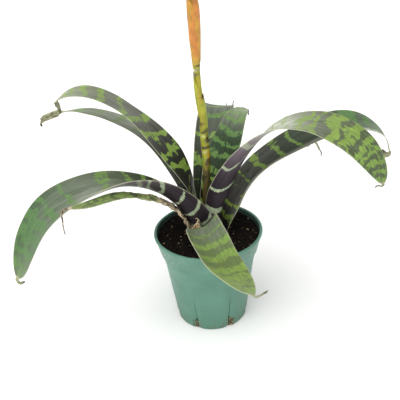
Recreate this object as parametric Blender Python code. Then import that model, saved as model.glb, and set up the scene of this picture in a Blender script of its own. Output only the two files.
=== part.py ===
# Flaming sword bromeliad in a round plastic nursery pot.
# Built in millimetres and scaled to metres at the end of each piece, +Z up.
# The origin is the middle of the pot's underside. -Y is the side that faces the viewer.
import bpy
import bmesh
from math import atan2, cos, exp, pi, radians, sin
from mathutils import Matrix, Vector, noise

for old in list(bpy.data.objects):
    bpy.data.objects.remove(old, do_unlink=True)

# Clear space between neighbours that touch in the real plant
GAP = 0.35

# Pot
POT_HEIGHT = 95.0
LIP_RADIUS = 52.0
FOOT_RADIUS = 35.4
WALL = 1.5
FLOOR = 2.6
BAND_BOTTOM = 76.0
BAND_RADIUS = 47.2
NECK_HEIGHT = 62.0
NECK_RADIUS = 43.0
FLUTES = 7
FLUTE_FIRST = radians(-12.8)
FLUTE_TOP = 46.0
FLUTE_DEPTH = 4.5
FLUTE_HALF_WIDTH = 5.8
SLOT_WIDTH = 3.2
SLOT_BOTTOM = -1.0
SLOT_TOP = 13.0
ROUND = 49

# Soil and the short woody stem that stands in it
SOIL_TOP = 87.2
STEM_RADIUS = 9.5
STEM_FOOT = 58.0
SHOULDER_RADIUS = 20.0
SHOULDER_HEIGHT = 87.9
CROWN_TOP = 103.0

# Leaves: half of the thickness lies on each side of the middle surface
LEAF_THICKNESS = 0.8
LEAF_ROWS = 24
LEAF_COLUMNS = 6
WISP_ROWS = 5

# Flower stalk and the sword shaped flower head
STALK_FOOT_RADIUS = 2.5
STALK_TOP = 306.0
STALK_TOP_RADIUS = 3.6
SPIKE_LENGTH = 150.0
SPIKE_TURN = radians(20)
SPIKE_BRACTS = 18
BRACT_LENGTH = 38.0
BRACT_WIDTH = 16.0
BRACT_THICKNESS = 6.5


def ease(x):
    x = min(max(x, 0.0), 1.0)
    return x * x * (3 - 2 * x)


def along(values, t):
    # Smooth curve through evenly spaced values, t from 0 to 1
    last = len(values) - 1
    if last == 0:
        return values[0]
    x = min(max(t, 0.0), 1.0) * last
    i = min(int(x), last - 1)
    f = x - i
    b = values[i]
    c = values[i + 1]
    a = values[i - 1] if i > 0 else 2 * b - c
    d = values[i + 2] if i + 2 <= last else 2 * c - b
    cubic = 2 * b + (c - a) * f
    cubic += (2 * a - 5 * b + 4 * c - d) * f ** 2
    cubic += (3 * b - a - 3 * c + d) * f ** 3
    return 0.5 * cubic


def material(name, color, roughness):
    made = bpy.data.materials.new(name)
    made.use_nodes = True
    shader = made.node_tree.nodes["Principled BSDF"]
    shader.inputs["Base Color"].default_value = (*color, 1)
    shader.inputs["Roughness"].default_value = roughness
    shader.inputs["Metallic"].default_value = 0.0
    made.diffuse_color = (*color, 1)
    return made


def finish(name, bm, made, angle=40):
    bmesh.ops.scale(bm, vec=(0.001, 0.001, 0.001), verts=bm.verts)
    mesh = bpy.data.meshes.new(name)
    bm.to_mesh(mesh)
    bm.free()
    mesh.shade_smooth()
    mesh.set_sharp_from_angle(angle=radians(angle))
    mesh.materials.append(made)
    made_object = bpy.data.objects.new(name, mesh)
    bpy.context.scene.collection.objects.link(made_object)
    return made_object


def bake(made_object):
    # Applies the modifiers
    graph = bpy.context.evaluated_depsgraph_get()
    mesh = bpy.data.meshes.new_from_object(made_object.evaluated_get(graph))
    made_object.modifiers.clear()
    made_object.data = mesh
    return made_object


def turned(profile, steps):
    # Turns a profile of radius and height about the Z axis
    bm = bmesh.new()
    verts = [bm.verts.new((r, 0, z)) for r, z in profile]
    edges = [bm.edges.new(pair) for pair in zip(verts, verts[1:])]
    bmesh.ops.spin(bm, geom=verts + edges, cent=(0, 0, 0), axis=(0, 0, 1), dvec=(0, 0, 0),
                   angle=2 * pi, steps=steps, use_merge=True, use_duplicate=False)
    bmesh.ops.remove_doubles(bm, verts=bm.verts, dist=0.01)
    bmesh.ops.recalc_face_normals(bm, faces=bm.faces)
    return bm


def flute_offset(angle, height):
    # How far the wall is pressed in beside the drain slots
    if height >= FLUTE_TOP:
        return 0.0
    reach = 1 - height / FLUTE_TOP
    step = 2 * pi / FLUTES
    turn = (angle - FLUTE_FIRST + step / 2) % step - step / 2
    side = abs(turn) * FOOT_RADIUS / (FLUTE_HALF_WIDTH * (0.35 + 0.65 * reach))
    return FLUTE_DEPTH * reach ** 0.8 * max(0.0, 1 - side)


def press_flutes(bm):
    for v in bm.verts:
        radius = (v.co.x ** 2 + v.co.y ** 2) ** 0.5
        if radius < FOOT_RADIUS * 0.75:
            continue
        angle = atan2(v.co.y, v.co.x)
        scale = 1 - flute_offset(angle, v.co.z) / radius
        v.co.x *= scale
        v.co.y *= scale


def wall_radius(height):
    # Outer radius of the pot below the band
    if height > BAND_BOTTOM:
        f = (height - BAND_BOTTOM) / (POT_HEIGHT - BAND_BOTTOM)
        return BAND_RADIUS + (LIP_RADIUS - 0.6 - BAND_RADIUS) * f
    if height > NECK_HEIGHT:
        f = (height - NECK_HEIGHT) / (BAND_BOTTOM - NECK_HEIGHT)
        return NECK_RADIUS + (BAND_RADIUS - 1.3 - NECK_RADIUS) * f
    return FOOT_RADIUS + (NECK_RADIUS - FOOT_RADIUS) * height / NECK_HEIGHT


# Pot: turned wall with a rolled lip, seven pressed flutes and drain slots
outer = [(0, 0), (FOOT_RADIUS * 0.7, 0), (FOOT_RADIUS - 0.8, 0)]
for height in (0.8, 9, 18, 27, 36, FLUTE_TOP, NECK_HEIGHT):
    outer.append((wall_radius(height), height))
outer += [(BAND_RADIUS - 1.3, BAND_BOTTOM - 0.8),
          (BAND_RADIUS, BAND_BOTTOM),
          (LIP_RADIUS - 0.9, POT_HEIGHT - 2.6),
          (LIP_RADIUS, POT_HEIGHT - 1.8),
          (LIP_RADIUS, POT_HEIGHT - 0.5),
          (LIP_RADIUS - 0.6, POT_HEIGHT),
          (LIP_RADIUS - 2.2, POT_HEIGHT),
          (LIP_RADIUS - 2.7, POT_HEIGHT - 1.0)]
inner = []
for height in (BAND_BOTTOM, NECK_HEIGHT, FLUTE_TOP, 36, 27, 18, 9, FLOOR):
    inner.append((wall_radius(height) - WALL, height))
inner += [(FOOT_RADIUS * 0.7, FLOOR), (0, FLOOR)]
pot_mesh = turned(outer + inner, ROUND)
bmesh.ops.rotate(pot_mesh, verts=pot_mesh.verts, cent=(0, 0, 0),
                 matrix=Matrix.Rotation(FLUTE_FIRST, 3, "Z"))
press_flutes(pot_mesh)
pot = finish("pot", pot_mesh, material("green_pot_plastic", (0.18, 0.42, 0.36), 0.42))

cutter_mesh = bmesh.new()
for i in range(FLUTES):
    turn = Matrix.Rotation(FLUTE_FIRST + 2 * pi * i / FLUTES, 4, "Z")
    place = turn @ Matrix.Translation((FOOT_RADIUS - 1.4, 0, (SLOT_BOTTOM + SLOT_TOP) / 2))
    size = Matrix.Diagonal((10.6, SLOT_WIDTH, SLOT_TOP - SLOT_BOTTOM, 1))
    bmesh.ops.create_cube(cutter_mesh, size=1, matrix=place @ size)
cutter = finish("drain_slot_cutter", cutter_mesh, pot.data.materials[0])
cut = pot.modifiers.new("drain_slots", "BOOLEAN")
cut.operation = "DIFFERENCE"
cut.solver = "EXACT"
cut.object = cutter
bake(pot)
bpy.data.objects.remove(cutter, do_unlink=True)

# Soil: fills the pot with a plain hole for the stem, its top lightly lumpy
hole = STEM_RADIUS + GAP + 0.15
soil_profile = [(0, FLOOR + GAP), (FOOT_RADIUS * 0.7, FLOOR + GAP)]
for height in (FLOOR + GAP, 9, 18, 27, 36, FLUTE_TOP, NECK_HEIGHT, BAND_BOTTOM):
    spare = GAP + (0.65 if height < NECK_HEIGHT else 0.2)
    soil_profile.append((wall_radius(height) - WALL - spare, height))
soil_profile.append((wall_radius(SOIL_TOP - 1) - WALL - 1.4, SOIL_TOP - 1.0))
for share in (0.8, 0.58, 0.36, 0.16):
    radius = SHOULDER_RADIUS + 0.6 + (LIP_RADIUS - 25) * share
    soil_profile.append((radius, SOIL_TOP))
ledge = SHOULDER_HEIGHT - 2.4
soil_profile += [(SHOULDER_RADIUS + 0.6, SOIL_TOP), (SHOULDER_RADIUS + 0.6, ledge),
                 (hole, ledge), (hole, STEM_FOOT - GAP), (0, STEM_FOOT - GAP)]
soil_mesh = turned(soil_profile, ROUND)
bmesh.ops.rotate(soil_mesh, verts=soil_mesh.verts, cent=(0, 0, 0),
                 matrix=Matrix.Rotation(FLUTE_FIRST, 3, "Z"))
press_flutes(soil_mesh)
for v in soil_mesh.verts:
    radius = (v.co.x ** 2 + v.co.y ** 2) ** 0.5
    if v.co.z > SOIL_TOP - 0.5:
        place = Vector((v.co.x, v.co.y, 7.0))
        lump = 1.1 * noise.noise(place * 0.11) + 0.8 * noise.noise(place * 0.31)
        v.co.z += lump * ease((radius - SHOULDER_RADIUS - 1) / 8)
finish("potting_soil", soil_mesh, material("potting_soil", (0.035, 0.022, 0.015), 0.95), 180)

# Stem: short and woody, tapering upward inside the leaf bases
stem_profile = [(0, STEM_FOOT), (STEM_RADIUS - 1.5, STEM_FOOT), (STEM_RADIUS, STEM_FOOT + 2),
                (STEM_RADIUS, SHOULDER_HEIGHT - 2.0), (SHOULDER_RADIUS - 1.0, SHOULDER_HEIGHT - 1.3),
                (SHOULDER_RADIUS, SHOULDER_HEIGHT), (4.2, CROWN_TOP), (0, CROWN_TOP)]
finish("rosette_stem", turned(stem_profile, 30), material("rosette_stem", (0.16, 0.11, 0.06), 0.85))


def crown_height(radius):
    # Height of the stem's cone at a radius
    slope = (CROWN_TOP - SHOULDER_HEIGHT) / (SHOULDER_RADIUS - 4.2)
    return CROWN_TOP - slope * (radius - 4.2)


# Leaves, seen from above: azimuth 0 points to +X and 90 points away from the viewer.
# lean: angle from upright at even steps from the sheath to the end of the green blade.
# roll: turn of the blade about its own length. sway: sideways turn of its heading.
# channel: curvature across the blade, 1 / mm. wisp: the dried end, its length and width,
# with wisp_lean carrying on from the blade's last lean, and wisp_sway from its heading.
LEAVES = {
    "leaf_left_arching": dict(
        azimuth=220, radius=15.3, length=234, width=46, sheath=1.05, neck=0.97,
        lean=[6, 45, 77, 106, 145, 156], roll=[54, 31, 11, -6, -21, -42], sway=[-45, -34, -16, -26, -31],
        channel=[0.066, 0.054, 0.034, 0.027, 0.024, 0.029], taper=0.32, blunt=0.6,
        wisp=14, wisp_width=3, wisp_lean=[0, 110, 80, 80], wisp_sway=[0, -10, 80]),
    "leaf_left_upper": dict(
        azimuth=160, radius=9.0, length=208, width=32, sheath=0.61, neck=0.85,
        lean=[0, 18, 37, 54, 78, 128], roll=[38, -8, 11, -22], sway=[11, 1, 1],
        channel=[0.025, 0.01, 0.009, 0.015], taper=0.28, blunt=0.8,
        wisp=16, wisp_width=4, wisp_lean=[0, 25, 40, 35], wisp_sway=[0, -120, -50]),
    "leaf_left_behind": dict(
        azimuth=149, radius=12.3, length=199, width=30, sheath=0.94, neck=0.86,
        lean=[0, 30, 44, 67, 86, 105], roll=[7, 6, 13, 4], sway=[-13, 3, 5],
        channel=[0.043, 0.032, 0.007, 0.019], taper=0.3, blunt=0.75,
        wisp=40, wisp_width=6, wisp_lean=[0, 5, 15, 60], wisp_sway=[0, 10, -60]),
    "leaf_left_withered": dict(
        azimuth=201, radius=17.7, length=149, width=16, sheath=0.99, neck=0.84,
        lean=[2, 32, 54, 66, 90, 80], roll=[-13, -11, 3, -12], sway=[15, 15, 6],
        channel=[0.03, 0.011, 0.012, 0.016], taper=0.29, blunt=0.9,
        wisp=26, wisp_width=1.8, wisp_lean=[0, 95, 115, 10], wisp_sway=[0, 90, 80]),
    "leaf_back_tall": dict(
        azimuth=82, radius=7.6, length=201, width=35, sheath=0.6, neck=0.9,
        lean=[8, 27, 57, 85, 113, 136], roll=[24, 7, 4, 15], sway=[-7, -1, 4],
        channel=[0.045, 0.03, 0.013, -0.002], taper=0.32, blunt=0.82,
        wisp=8, wisp_width=2, wisp_lean=[0, -60], wisp_sway=[0, 0]),
    "leaf_back_right": dict(
        azimuth=54, radius=5.8, length=127, width=33, sheath=0.59, neck=0.79,
        lean=[9, 19, 30, 33, 61, 122], roll=[13, 18, -9, 7], sway=[-7, 2, 1],
        channel=[0.073, 0.043, -0.016, 0.025], taper=0.41, blunt=0.72,
        wisp=9, wisp_width=3, wisp_lean=[0, 50, -15], wisp_sway=[0, 12]),
    "leaf_right_front": dict(
        azimuth=-21, radius=9.6, length=230, width=40, sheath=0.73, neck=0.88,
        lean=[8, 22, 42, 82, 120, 166], roll=[-60, -29, 8, 33], sway=[24, 7, -19],
        channel=[0.098, 0.025, 0.008, -0.043], taper=0.37, blunt=0.52,
        wisp=20, wisp_width=3, wisp_lean=[0, 140, 20, -60], wisp_sway=[0, 0, 110]),
    "leaf_right_behind": dict(
        azimuth=10, radius=18.4, length=226, width=31, sheath=0.6, neck=0.77,
        lean=[7, 31, 61, 70, 110, 167], roll=[33, 18, 19, 16], sway=[7, -3, 6],
        channel=[0.055, 0.045, 0.02, 0.016], taper=0.33, blunt=0.87,
        wisp=14, wisp_width=4, wisp_lean=[0, 60, 170, 160], wisp_sway=[0, -35, 30]),
    "leaf_right_hidden": dict(
        azimuth=44, radius=19.9, length=148, width=19, sheath=0.79, neck=0.62,
        lean=[4, 45, 62, 75, 86, 114], roll=[-9, 16, 5, 39], sway=[5, -9, -17],
        channel=[0.057, 0.024, 0.02, 0.018], taper=0.12, blunt=0.74,
        wisp=25, wisp_width=4, wisp_lean=[0, 40, 30, 55], wisp_sway=[0, -15, 80]),
    "leaf_front": dict(
        azimuth=-80, radius=16.9, length=194, width=33, sheath=0.8, neck=0.8,
        lean=[20, 53, 75, 85, 78, 75], roll=[48, 36, -2, -16, -15], sway=[-36, -2, 12],
        channel=[0.065, 0.053, 0.043, 0.026, 0.02], taper=0.3, blunt=0.66,
        wisp=21, wisp_width=1.6, wisp_lean=[0, 5, 45, 20], wisp_sway=[0, 120, 125]),
}


def leaf_path(leaf, steps=240):
    # Middle line and cross frame, as lists of (distance share, point, across, inward)
    wisp_steps = 60
    share = leaf["wisp"] / leaf["length"]
    start = radians(leaf["azimuth"])
    radius = leaf["radius"]
    foot = crown_height(radius) + 0.95
    point = Vector((cos(start) * radius, sin(start) * radius, foot))
    path = []
    last_tangent = None
    for i in range(steps + wisp_steps + 1):
        t = min(i / steps, 1.0)
        w = max(0.0, (i - steps) / wisp_steps)
        free = ease(t / 0.16)
        lean = radians(along(leaf["lean"], t) + along(leaf["wisp_lean"], w))
        head = start + radians(along(leaf["sway"], t) * free + along(leaf["wisp_sway"], w))
        roll = radians(along(leaf["roll"], t) * free)
        out = Vector((cos(head), sin(head), 0))
        up = Vector((0, 0, 1))
        tangent = out * sin(lean) + up * cos(lean)
        inward = up * sin(lean) - out * cos(lean)
        across = tangent.cross(inward)
        if last_tangent is not None:
            step = leaf["length"] / steps if w == 0 else leaf["wisp"] / wisp_steps
            point = point + (tangent + last_tangent) * 0.5 * step
        last_tangent = tangent
        turned_across = across * cos(roll) - inward * sin(roll)
        turned_inward = inward * cos(roll) + across * sin(roll)
        path.append((t + share * w, point.copy(), turned_across, turned_inward))
    return path


def leaf_half_width(leaf, t):
    tip = leaf["wisp_width"] / 2
    if t > 1:
        f = (t - 1) * leaf["length"] / leaf["wisp"]
        return tip + (0.6 - tip) * ease(f)
    neck = ease(t / 0.18)
    wide = leaf["sheath"] * (1 - neck) + leaf["neck"] * neck
    full = ease((t - 0.15) / 0.4)
    wide = wide * (1 - full) + full
    closing = sin(min((1 - t) / leaf["taper"], 1.0) * pi / 2) ** leaf["blunt"]
    return max(leaf["width"] / 2 * wide * closing, tip)


def leaf_curl(leaf, t):
    opened = ease(t / 0.2)
    return (1 - opened) / leaf["radius"] + opened * along(leaf["channel"], min(t, 1.0))


def leaf_blade(leaf, blade_rows=LEAF_ROWS):
    # A grid bent along the middle line and cupped across it
    path = leaf_path(leaf)
    rows = blade_rows + WISP_ROWS
    bm = bmesh.new()
    bmesh.ops.create_grid(bm, x_segments=LEAF_COLUMNS, y_segments=rows, size=1)
    for v in bm.verts:
        row = round((v.co.y + 1) / 2 * rows)
        side = v.co.x
        if row <= blade_rows:
            index = round(row / blade_rows * 240)
        else:
            index = 240 + round((row - blade_rows) / WISP_ROWS * 60)
        t, point, across, inward = path[index]
        curl = leaf_curl(leaf, t)
        reach = side * leaf_half_width(leaf, t)
        turn = reach * curl
        if abs(curl) > 1e-5:
            flat = sin(turn) / curl
            lift = (1 - cos(turn)) / curl
        else:
            flat = reach
            lift = 0.0
        v.co = point + across * flat + inward * lift
    bmesh.ops.triangulate(bm, faces=bm.faces, quad_method="FIXED")
    bmesh.ops.recalc_face_normals(bm, faces=bm.faces)
    return bm


def shell(made_object, thickness):
    solid = made_object.modifiers.new("thickness", "SOLIDIFY")
    solid.thickness = thickness * 0.001
    solid.offset = 0
    solid.use_even_offset = False
    return bake(made_object)


leaf_green = material("banded_leaf", (0.16, 0.26, 0.08), 0.38)
withered_tan = material("withered_leaf", (0.36, 0.28, 0.16), 0.7)
for name, leaf in LEAVES.items():
    made = withered_tan if name.endswith("withered") else leaf_green
    shell(finish(name, leaf_blade(leaf), made, 60), LEAF_THICKNESS)

# Husk: the dried, curled foot of an old leaf beside the crown
husk = dict(azimuth=-132, radius=19.7, length=16, width=15, sheath=1.0, neck=0.85,
            lean=[4, 20, 42, 50], roll=[1, 1], sway=[0, 0], channel=[0.07, 0.1],
            taper=0.6, blunt=0.6, wisp=7, wisp_width=3, wisp_lean=[0, -50, -90],
            wisp_sway=[0, -30])
shell(finish("dried_leaf_husk", leaf_blade(husk, 7), withered_tan, 60), LEAF_THICKNESS)


# Stalk: gently bent, widening upward, wrapped by pointed bracts
def stalk_centre(z):
    share = (z - CROWN_TOP) / (STALK_TOP - CROWN_TOP)
    return Vector((along([0, 0.4, 2.0, 1.0, -1.3, -1.9, -2.1], share), 0, z))


def stalk_radius(z):
    share = ease((z - STALK_TOP + 54) / 50)
    return STALK_FOOT_RADIUS + (STALK_TOP_RADIUS - STALK_FOOT_RADIUS) * share


def unite(base, others):
    # One union of the base with all the others
    group = bpy.data.collections.new("union")
    for other in others:
        group.objects.link(other)
    union = base.modifiers.new("union", "BOOLEAN")
    union.operation = "UNION"
    union.solver = "EXACT"
    union.operand_type = "COLLECTION"
    union.collection = group
    union.use_self = True
    bake(base)
    for other in others:
        bpy.data.objects.remove(other, do_unlink=True)
    bpy.data.collections.remove(group)
    return base


stalk_green = material("flower_stalk", (0.36, 0.33, 0.06), 0.45)
stalk_rows = 12
stalk_mesh = bmesh.new()
bmesh.ops.create_cone(stalk_mesh, cap_ends=True, segments=10, radius1=1, radius2=1, depth=1)
bmesh.ops.translate(stalk_mesh, vec=(0, 0, 0.5), verts=stalk_mesh.verts)
for i in range(1, stalk_rows):
    whole = stalk_mesh.verts[:] + stalk_mesh.edges[:] + stalk_mesh.faces[:]
    bmesh.ops.bisect_plane(stalk_mesh, geom=whole, plane_co=(0, 0, i / stalk_rows),
                           plane_no=(0, 0, 1))
stalk_foot = CROWN_TOP + GAP
for v in stalk_mesh.verts:
    z = stalk_foot + (STALK_TOP - stalk_foot) * v.co.z
    centre = stalk_centre(z)
    radius = stalk_radius(z)
    v.co = Vector((centre.x + v.co.x * radius, centre.y + v.co.y * radius, z))
stalk = finish("flower_stalk", stalk_mesh, stalk_green)


def stalk_bract(foot_z, azimuth, length, spread):
    # A pointed sleeve that hugs the stalk and stands off at its tip
    bm = bmesh.new()
    bmesh.ops.create_grid(bm, x_segments=4, y_segments=5, size=1)
    for v in bm.verts:
        t = (v.co.y + 1) / 2
        z = foot_z + length * t
        centre = stalk_centre(z)
        radius = stalk_radius(z) - 0.05 + spread * ease((t - 0.35) / 0.65)
        half = radians(100) * (1 - ease((t - 0.1) / 0.9)) ** 0.8 + radians(9)
        angle = radians(azimuth) + v.co.x * half
        v.co = Vector((centre.x + cos(angle) * radius, centre.y + sin(angle) * radius, z))
    bmesh.ops.triangulate(bm, faces=bm.faces, quad_method="FIXED")
    bmesh.ops.recalc_face_normals(bm, faces=bm.faces)
    return shell(finish("bract", bm, stalk_green, 60), 1.2)


# Height of each bract's foot, the side it stands on, and its length
bracts = []
for foot_z, side, length in ((112, 200, 27), (131, 340, 27), (151, 160, 27), (173, 10, 24),
                             (195, -10, 27), (250, 190, 29), (268, 10, 32)):
    bracts.append(stalk_bract(foot_z, side, length, 0.9 + 0.4 * ease((foot_z - 200) / 60)))
unite(stalk, bracts)


# Flower head: a flat sword of folded bracts in two ranks on one axis
def head_bract(height, side, size, reach):
    # A boat shaped scale, thick in the middle and thin at its rim
    bm = bmesh.new()
    bmesh.ops.create_grid(bm, x_segments=2, y_segments=6, size=1)
    for v in bm.verts:
        t = (v.co.y + 1) / 2
        swell = sin(pi * min(t * 0.9 + 0.1, 1))
        half = max(BRACT_WIDTH / 2 * size * swell ** 0.6 * (1 - 0.35 * t), 0.6)
        outward = 2.0 * min(reach / 4, 1) + reach * t ** 0.8
        up = height + BRACT_LENGTH * size * t
        edge = v.co.x * half
        thick = 0.45 + BRACT_THICKNESS / 2 * size * (1 - abs(v.co.x)) * swell ** 0.7
        v.co = Vector((side * (outward + edge * 0.9), thick, up - edge * 0.4))
    bmesh.ops.triangulate(bm, faces=bm.faces, quad_method="FIXED")
    twin = bmesh.ops.duplicate(bm, geom=bm.faces[:])["geom"]
    for v in twin:
        if isinstance(v, bmesh.types.BMVert):
            v.co.y *= -1
    bmesh.ops.bridge_loops(bm, edges=[e for e in bm.edges if e.is_boundary])
    bmesh.ops.triangulate(bm, faces=bm.faces)
    bmesh.ops.recalc_face_normals(bm, faces=bm.faces)
    return bm


sword_red = material("flower_bract", (0.72, 0.13, 0.03), 0.4)
axis_length = SPIKE_LENGTH - 20
axis_mesh = bmesh.new()
bmesh.ops.create_cone(axis_mesh, cap_ends=True, segments=10, radius1=STALK_TOP_RADIUS + 0.4,
                      radius2=1.5, depth=axis_length)
bmesh.ops.translate(axis_mesh, vec=(0, 0, axis_length / 2), verts=axis_mesh.verts)
spike = finish("flower_spike", axis_mesh, sword_red)
scales = []
for i in range(SPIKE_BRACTS):
    share = i / (SPIKE_BRACTS - 1)
    side = 1 if i % 2 == 0 else -1
    size = 1.0 - 0.3 * share - 0.2 * exp(-share * 14)
    height = 1.5 + (SPIKE_LENGTH - 33) * share
    reach = 12.0 * size * (1 - share ** 4)
    scales.append(finish("scale", head_bract(height, side, size, reach), sword_red))
unite(spike, scales)
spike_turn = Matrix.Rotation(SPIKE_TURN, 4, "Z")
spike_foot = (stalk_centre(STALK_TOP) + Vector((0, 0, GAP))) * 0.001
spike.data.transform(Matrix.Translation(spike_foot) @ spike_turn)
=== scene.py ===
# A flaming sword bromeliad in its green nursery pot.
# Lengths are in millimetres until a mesh is finished, where they become metres.
import random
from math import atan2, cos, exp, pi, radians, sin

import bmesh
import bpy
from mathutils import Matrix, Vector, noise


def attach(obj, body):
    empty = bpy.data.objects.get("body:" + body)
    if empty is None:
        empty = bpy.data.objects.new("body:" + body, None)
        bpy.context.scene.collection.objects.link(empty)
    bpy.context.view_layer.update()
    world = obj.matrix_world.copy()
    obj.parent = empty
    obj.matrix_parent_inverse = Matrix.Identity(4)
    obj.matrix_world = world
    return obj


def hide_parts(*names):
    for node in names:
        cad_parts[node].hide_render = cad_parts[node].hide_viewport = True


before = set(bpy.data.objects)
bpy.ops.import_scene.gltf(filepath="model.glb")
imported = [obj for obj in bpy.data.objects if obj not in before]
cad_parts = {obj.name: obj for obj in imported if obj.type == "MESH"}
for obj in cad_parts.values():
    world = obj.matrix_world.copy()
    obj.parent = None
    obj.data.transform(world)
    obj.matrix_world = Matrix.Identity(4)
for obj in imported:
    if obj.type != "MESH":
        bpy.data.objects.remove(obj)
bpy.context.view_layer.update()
print("frame loaded", len(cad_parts), "nodes")


def srgb(code):
    # A hex colour as shown on screen, turned to linear light
    parts = [int(code[i:i + 2], 16) / 255 for i in (1, 3, 5)]
    return (*[p / 12.92 if p <= 0.04045 else ((p + 0.055) / 1.055) ** 2.4 for p in parts], 1.0)


# Settings that many nodes share
smooth = dict(interpolation_type="SMOOTHSTEP")
colors = dict(data_type="RGBA")


def addNode(tree, kind, inputs=None, out=0, **settings):
    # Adds a node with its settings, links the inputs that are sockets, and gives its output.
    # Map Range has its value as 0, the range it comes from as 1 and 2 and the range it goes to
    # as 3 and 4. Mix has its share as 0 and its two colours as 6 and 7.
    made = tree.nodes.new("ShaderNode" + kind)
    for key, value in settings.items():
        setattr(made, key, value)
    for key, value in (inputs or {}).items():
        if isinstance(value, bpy.types.NodeSocket):
            tree.links.new(value, made.inputs[key])
        else:
            made.inputs[key].default_value = value
    return made.outputs[out]


def newMaterial(name, settings):
    # A Principled surface with its constant values set on its own sockets. Object coordinates
    # and bump distances are in metres.
    made = bpy.data.materials.new(name)
    made.use_nodes = True
    for key, value in settings.items():
        made.node_tree.nodes["Principled BSDF"].inputs[key].default_value = value
    return made, made.node_tree


def linkSkin(tree, skin, relief, rough=None):
    # Links a surface's colour and relief, and its roughness where that varies
    for key, value in (("Base Color", skin), ("Normal", relief), ("Roughness", rough)):
        if value is not None:
            tree.links.new(value, tree.nodes["Principled BSDF"].inputs[key])


def ease(x):
    x = min(max(x, 0.0), 1.0)
    return x * x * (3 - 2 * x)


def along(values, t):
    # Smooth curve through evenly spaced values, t from 0 to 1
    last = len(values) - 1
    if last == 0:
        return values[0]
    x = min(max(t, 0.0), 1.0) * last
    i = min(int(x), last - 1)
    f = x - i
    b = values[i]
    c = values[i + 1]
    a = values[i - 1] if i > 0 else 2 * b - c
    d = values[i + 2] if i + 2 <= last else 2 * c - b
    cubic = 2 * b + (c - a) * f
    cubic += (2 * a - 5 * b + 4 * c - d) * f ** 2
    cubic += (3 * b - a - 3 * c + d) * f ** 3
    return 0.5 * cubic


def meshObject(name, bm, scale=0.001):
    # Makes an object of a bmesh, scaled to metres, and puts it in the scene
    bmesh.ops.scale(bm, vec=(scale, scale, scale), verts=bm.verts)
    mesh = bpy.data.meshes.new(name)
    bm.to_mesh(mesh)
    bm.free()
    made = bpy.data.objects.new(name, mesh)
    bpy.context.scene.collection.objects.link(made)
    return made


def finishPiece(name, bm, materials, nodes):
    # Makes the piece and tells the frame what it stands for
    piece = meshObject(name, bm)
    piece.data.shade_smooth()
    for material in materials:
        piece.data.materials.append(material)
    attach(piece, "root")
    if nodes:
        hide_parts(*nodes)
    return piece


def shell(piece, thickness, under=0):
    # Both faces of a thin sheet; the face that looks down may take the next material
    solid = piece.modifiers.new("thickness", "SOLIDIFY")
    solid.thickness = thickness * 0.001
    solid.offset = 0
    solid.use_even_offset = False
    solid.material_offset = under


def spun(profile, steps, start=0.0):
    # Turns a profile of radius and height about the Z axis, where a radius of 0 is one point. The
    # rings are built here because Blender's spin leaves its points in another order each run.
    bm = bmesh.new()
    rings = []
    for r, z in profile:
        turns = [start + 2 * pi * i / steps for i in range(steps if r else 1)]
        rings.append([bm.verts.new((r * cos(turn), r * sin(turn), z)) for turn in turns])
    for near, far in zip(rings, rings[1:]):
        for i in range(steps):
            corners = [ring[j % len(ring)]
                       for ring, j in ((near, i), (near, i + 1), (far, i + 1), (far, i))]
            bm.faces.new(list(dict.fromkeys(corners)))
    bmesh.ops.recalc_face_normals(bm, faces=bm.faces)
    return bm


# Camera, solved by a separate program from the pot's lip and foot circles in the photo
view = dict(place=(0, -0.453, 0.3759), down=28.82, turn=0.75, roll=-3.6, lens=50, sensor=36)
camera = bpy.data.objects.new("camera", bpy.data.cameras.new("camera"))
bpy.context.scene.collection.objects.link(camera)
camera.data.lens = view["lens"]
camera.data.sensor_width = view["sensor"]
camera.data.clip_start = 0.01
look = Matrix.Rotation(radians(view["turn"]), 4, "Z") @ \
    Matrix.Rotation(radians(90 - view["down"]), 4, "X") @ \
    Matrix.Rotation(radians(view["roll"]), 4, "Z")
camera.matrix_world = Matrix.Translation(view["place"]) @ look
bpy.context.scene.camera = camera


# Top of the short stem, which the leaf feet stand on
stem = dict(shoulderRadius=20.0, shoulderHeight=87.9, top=103.0, topRadius=4.2)


def crownHeight(radius):
    slope = (stem["top"] - stem["shoulderHeight"]) / (stem["shoulderRadius"] - stem["topRadius"])
    return stem["top"] - slope * (radius - stem["topRadius"])


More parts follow.
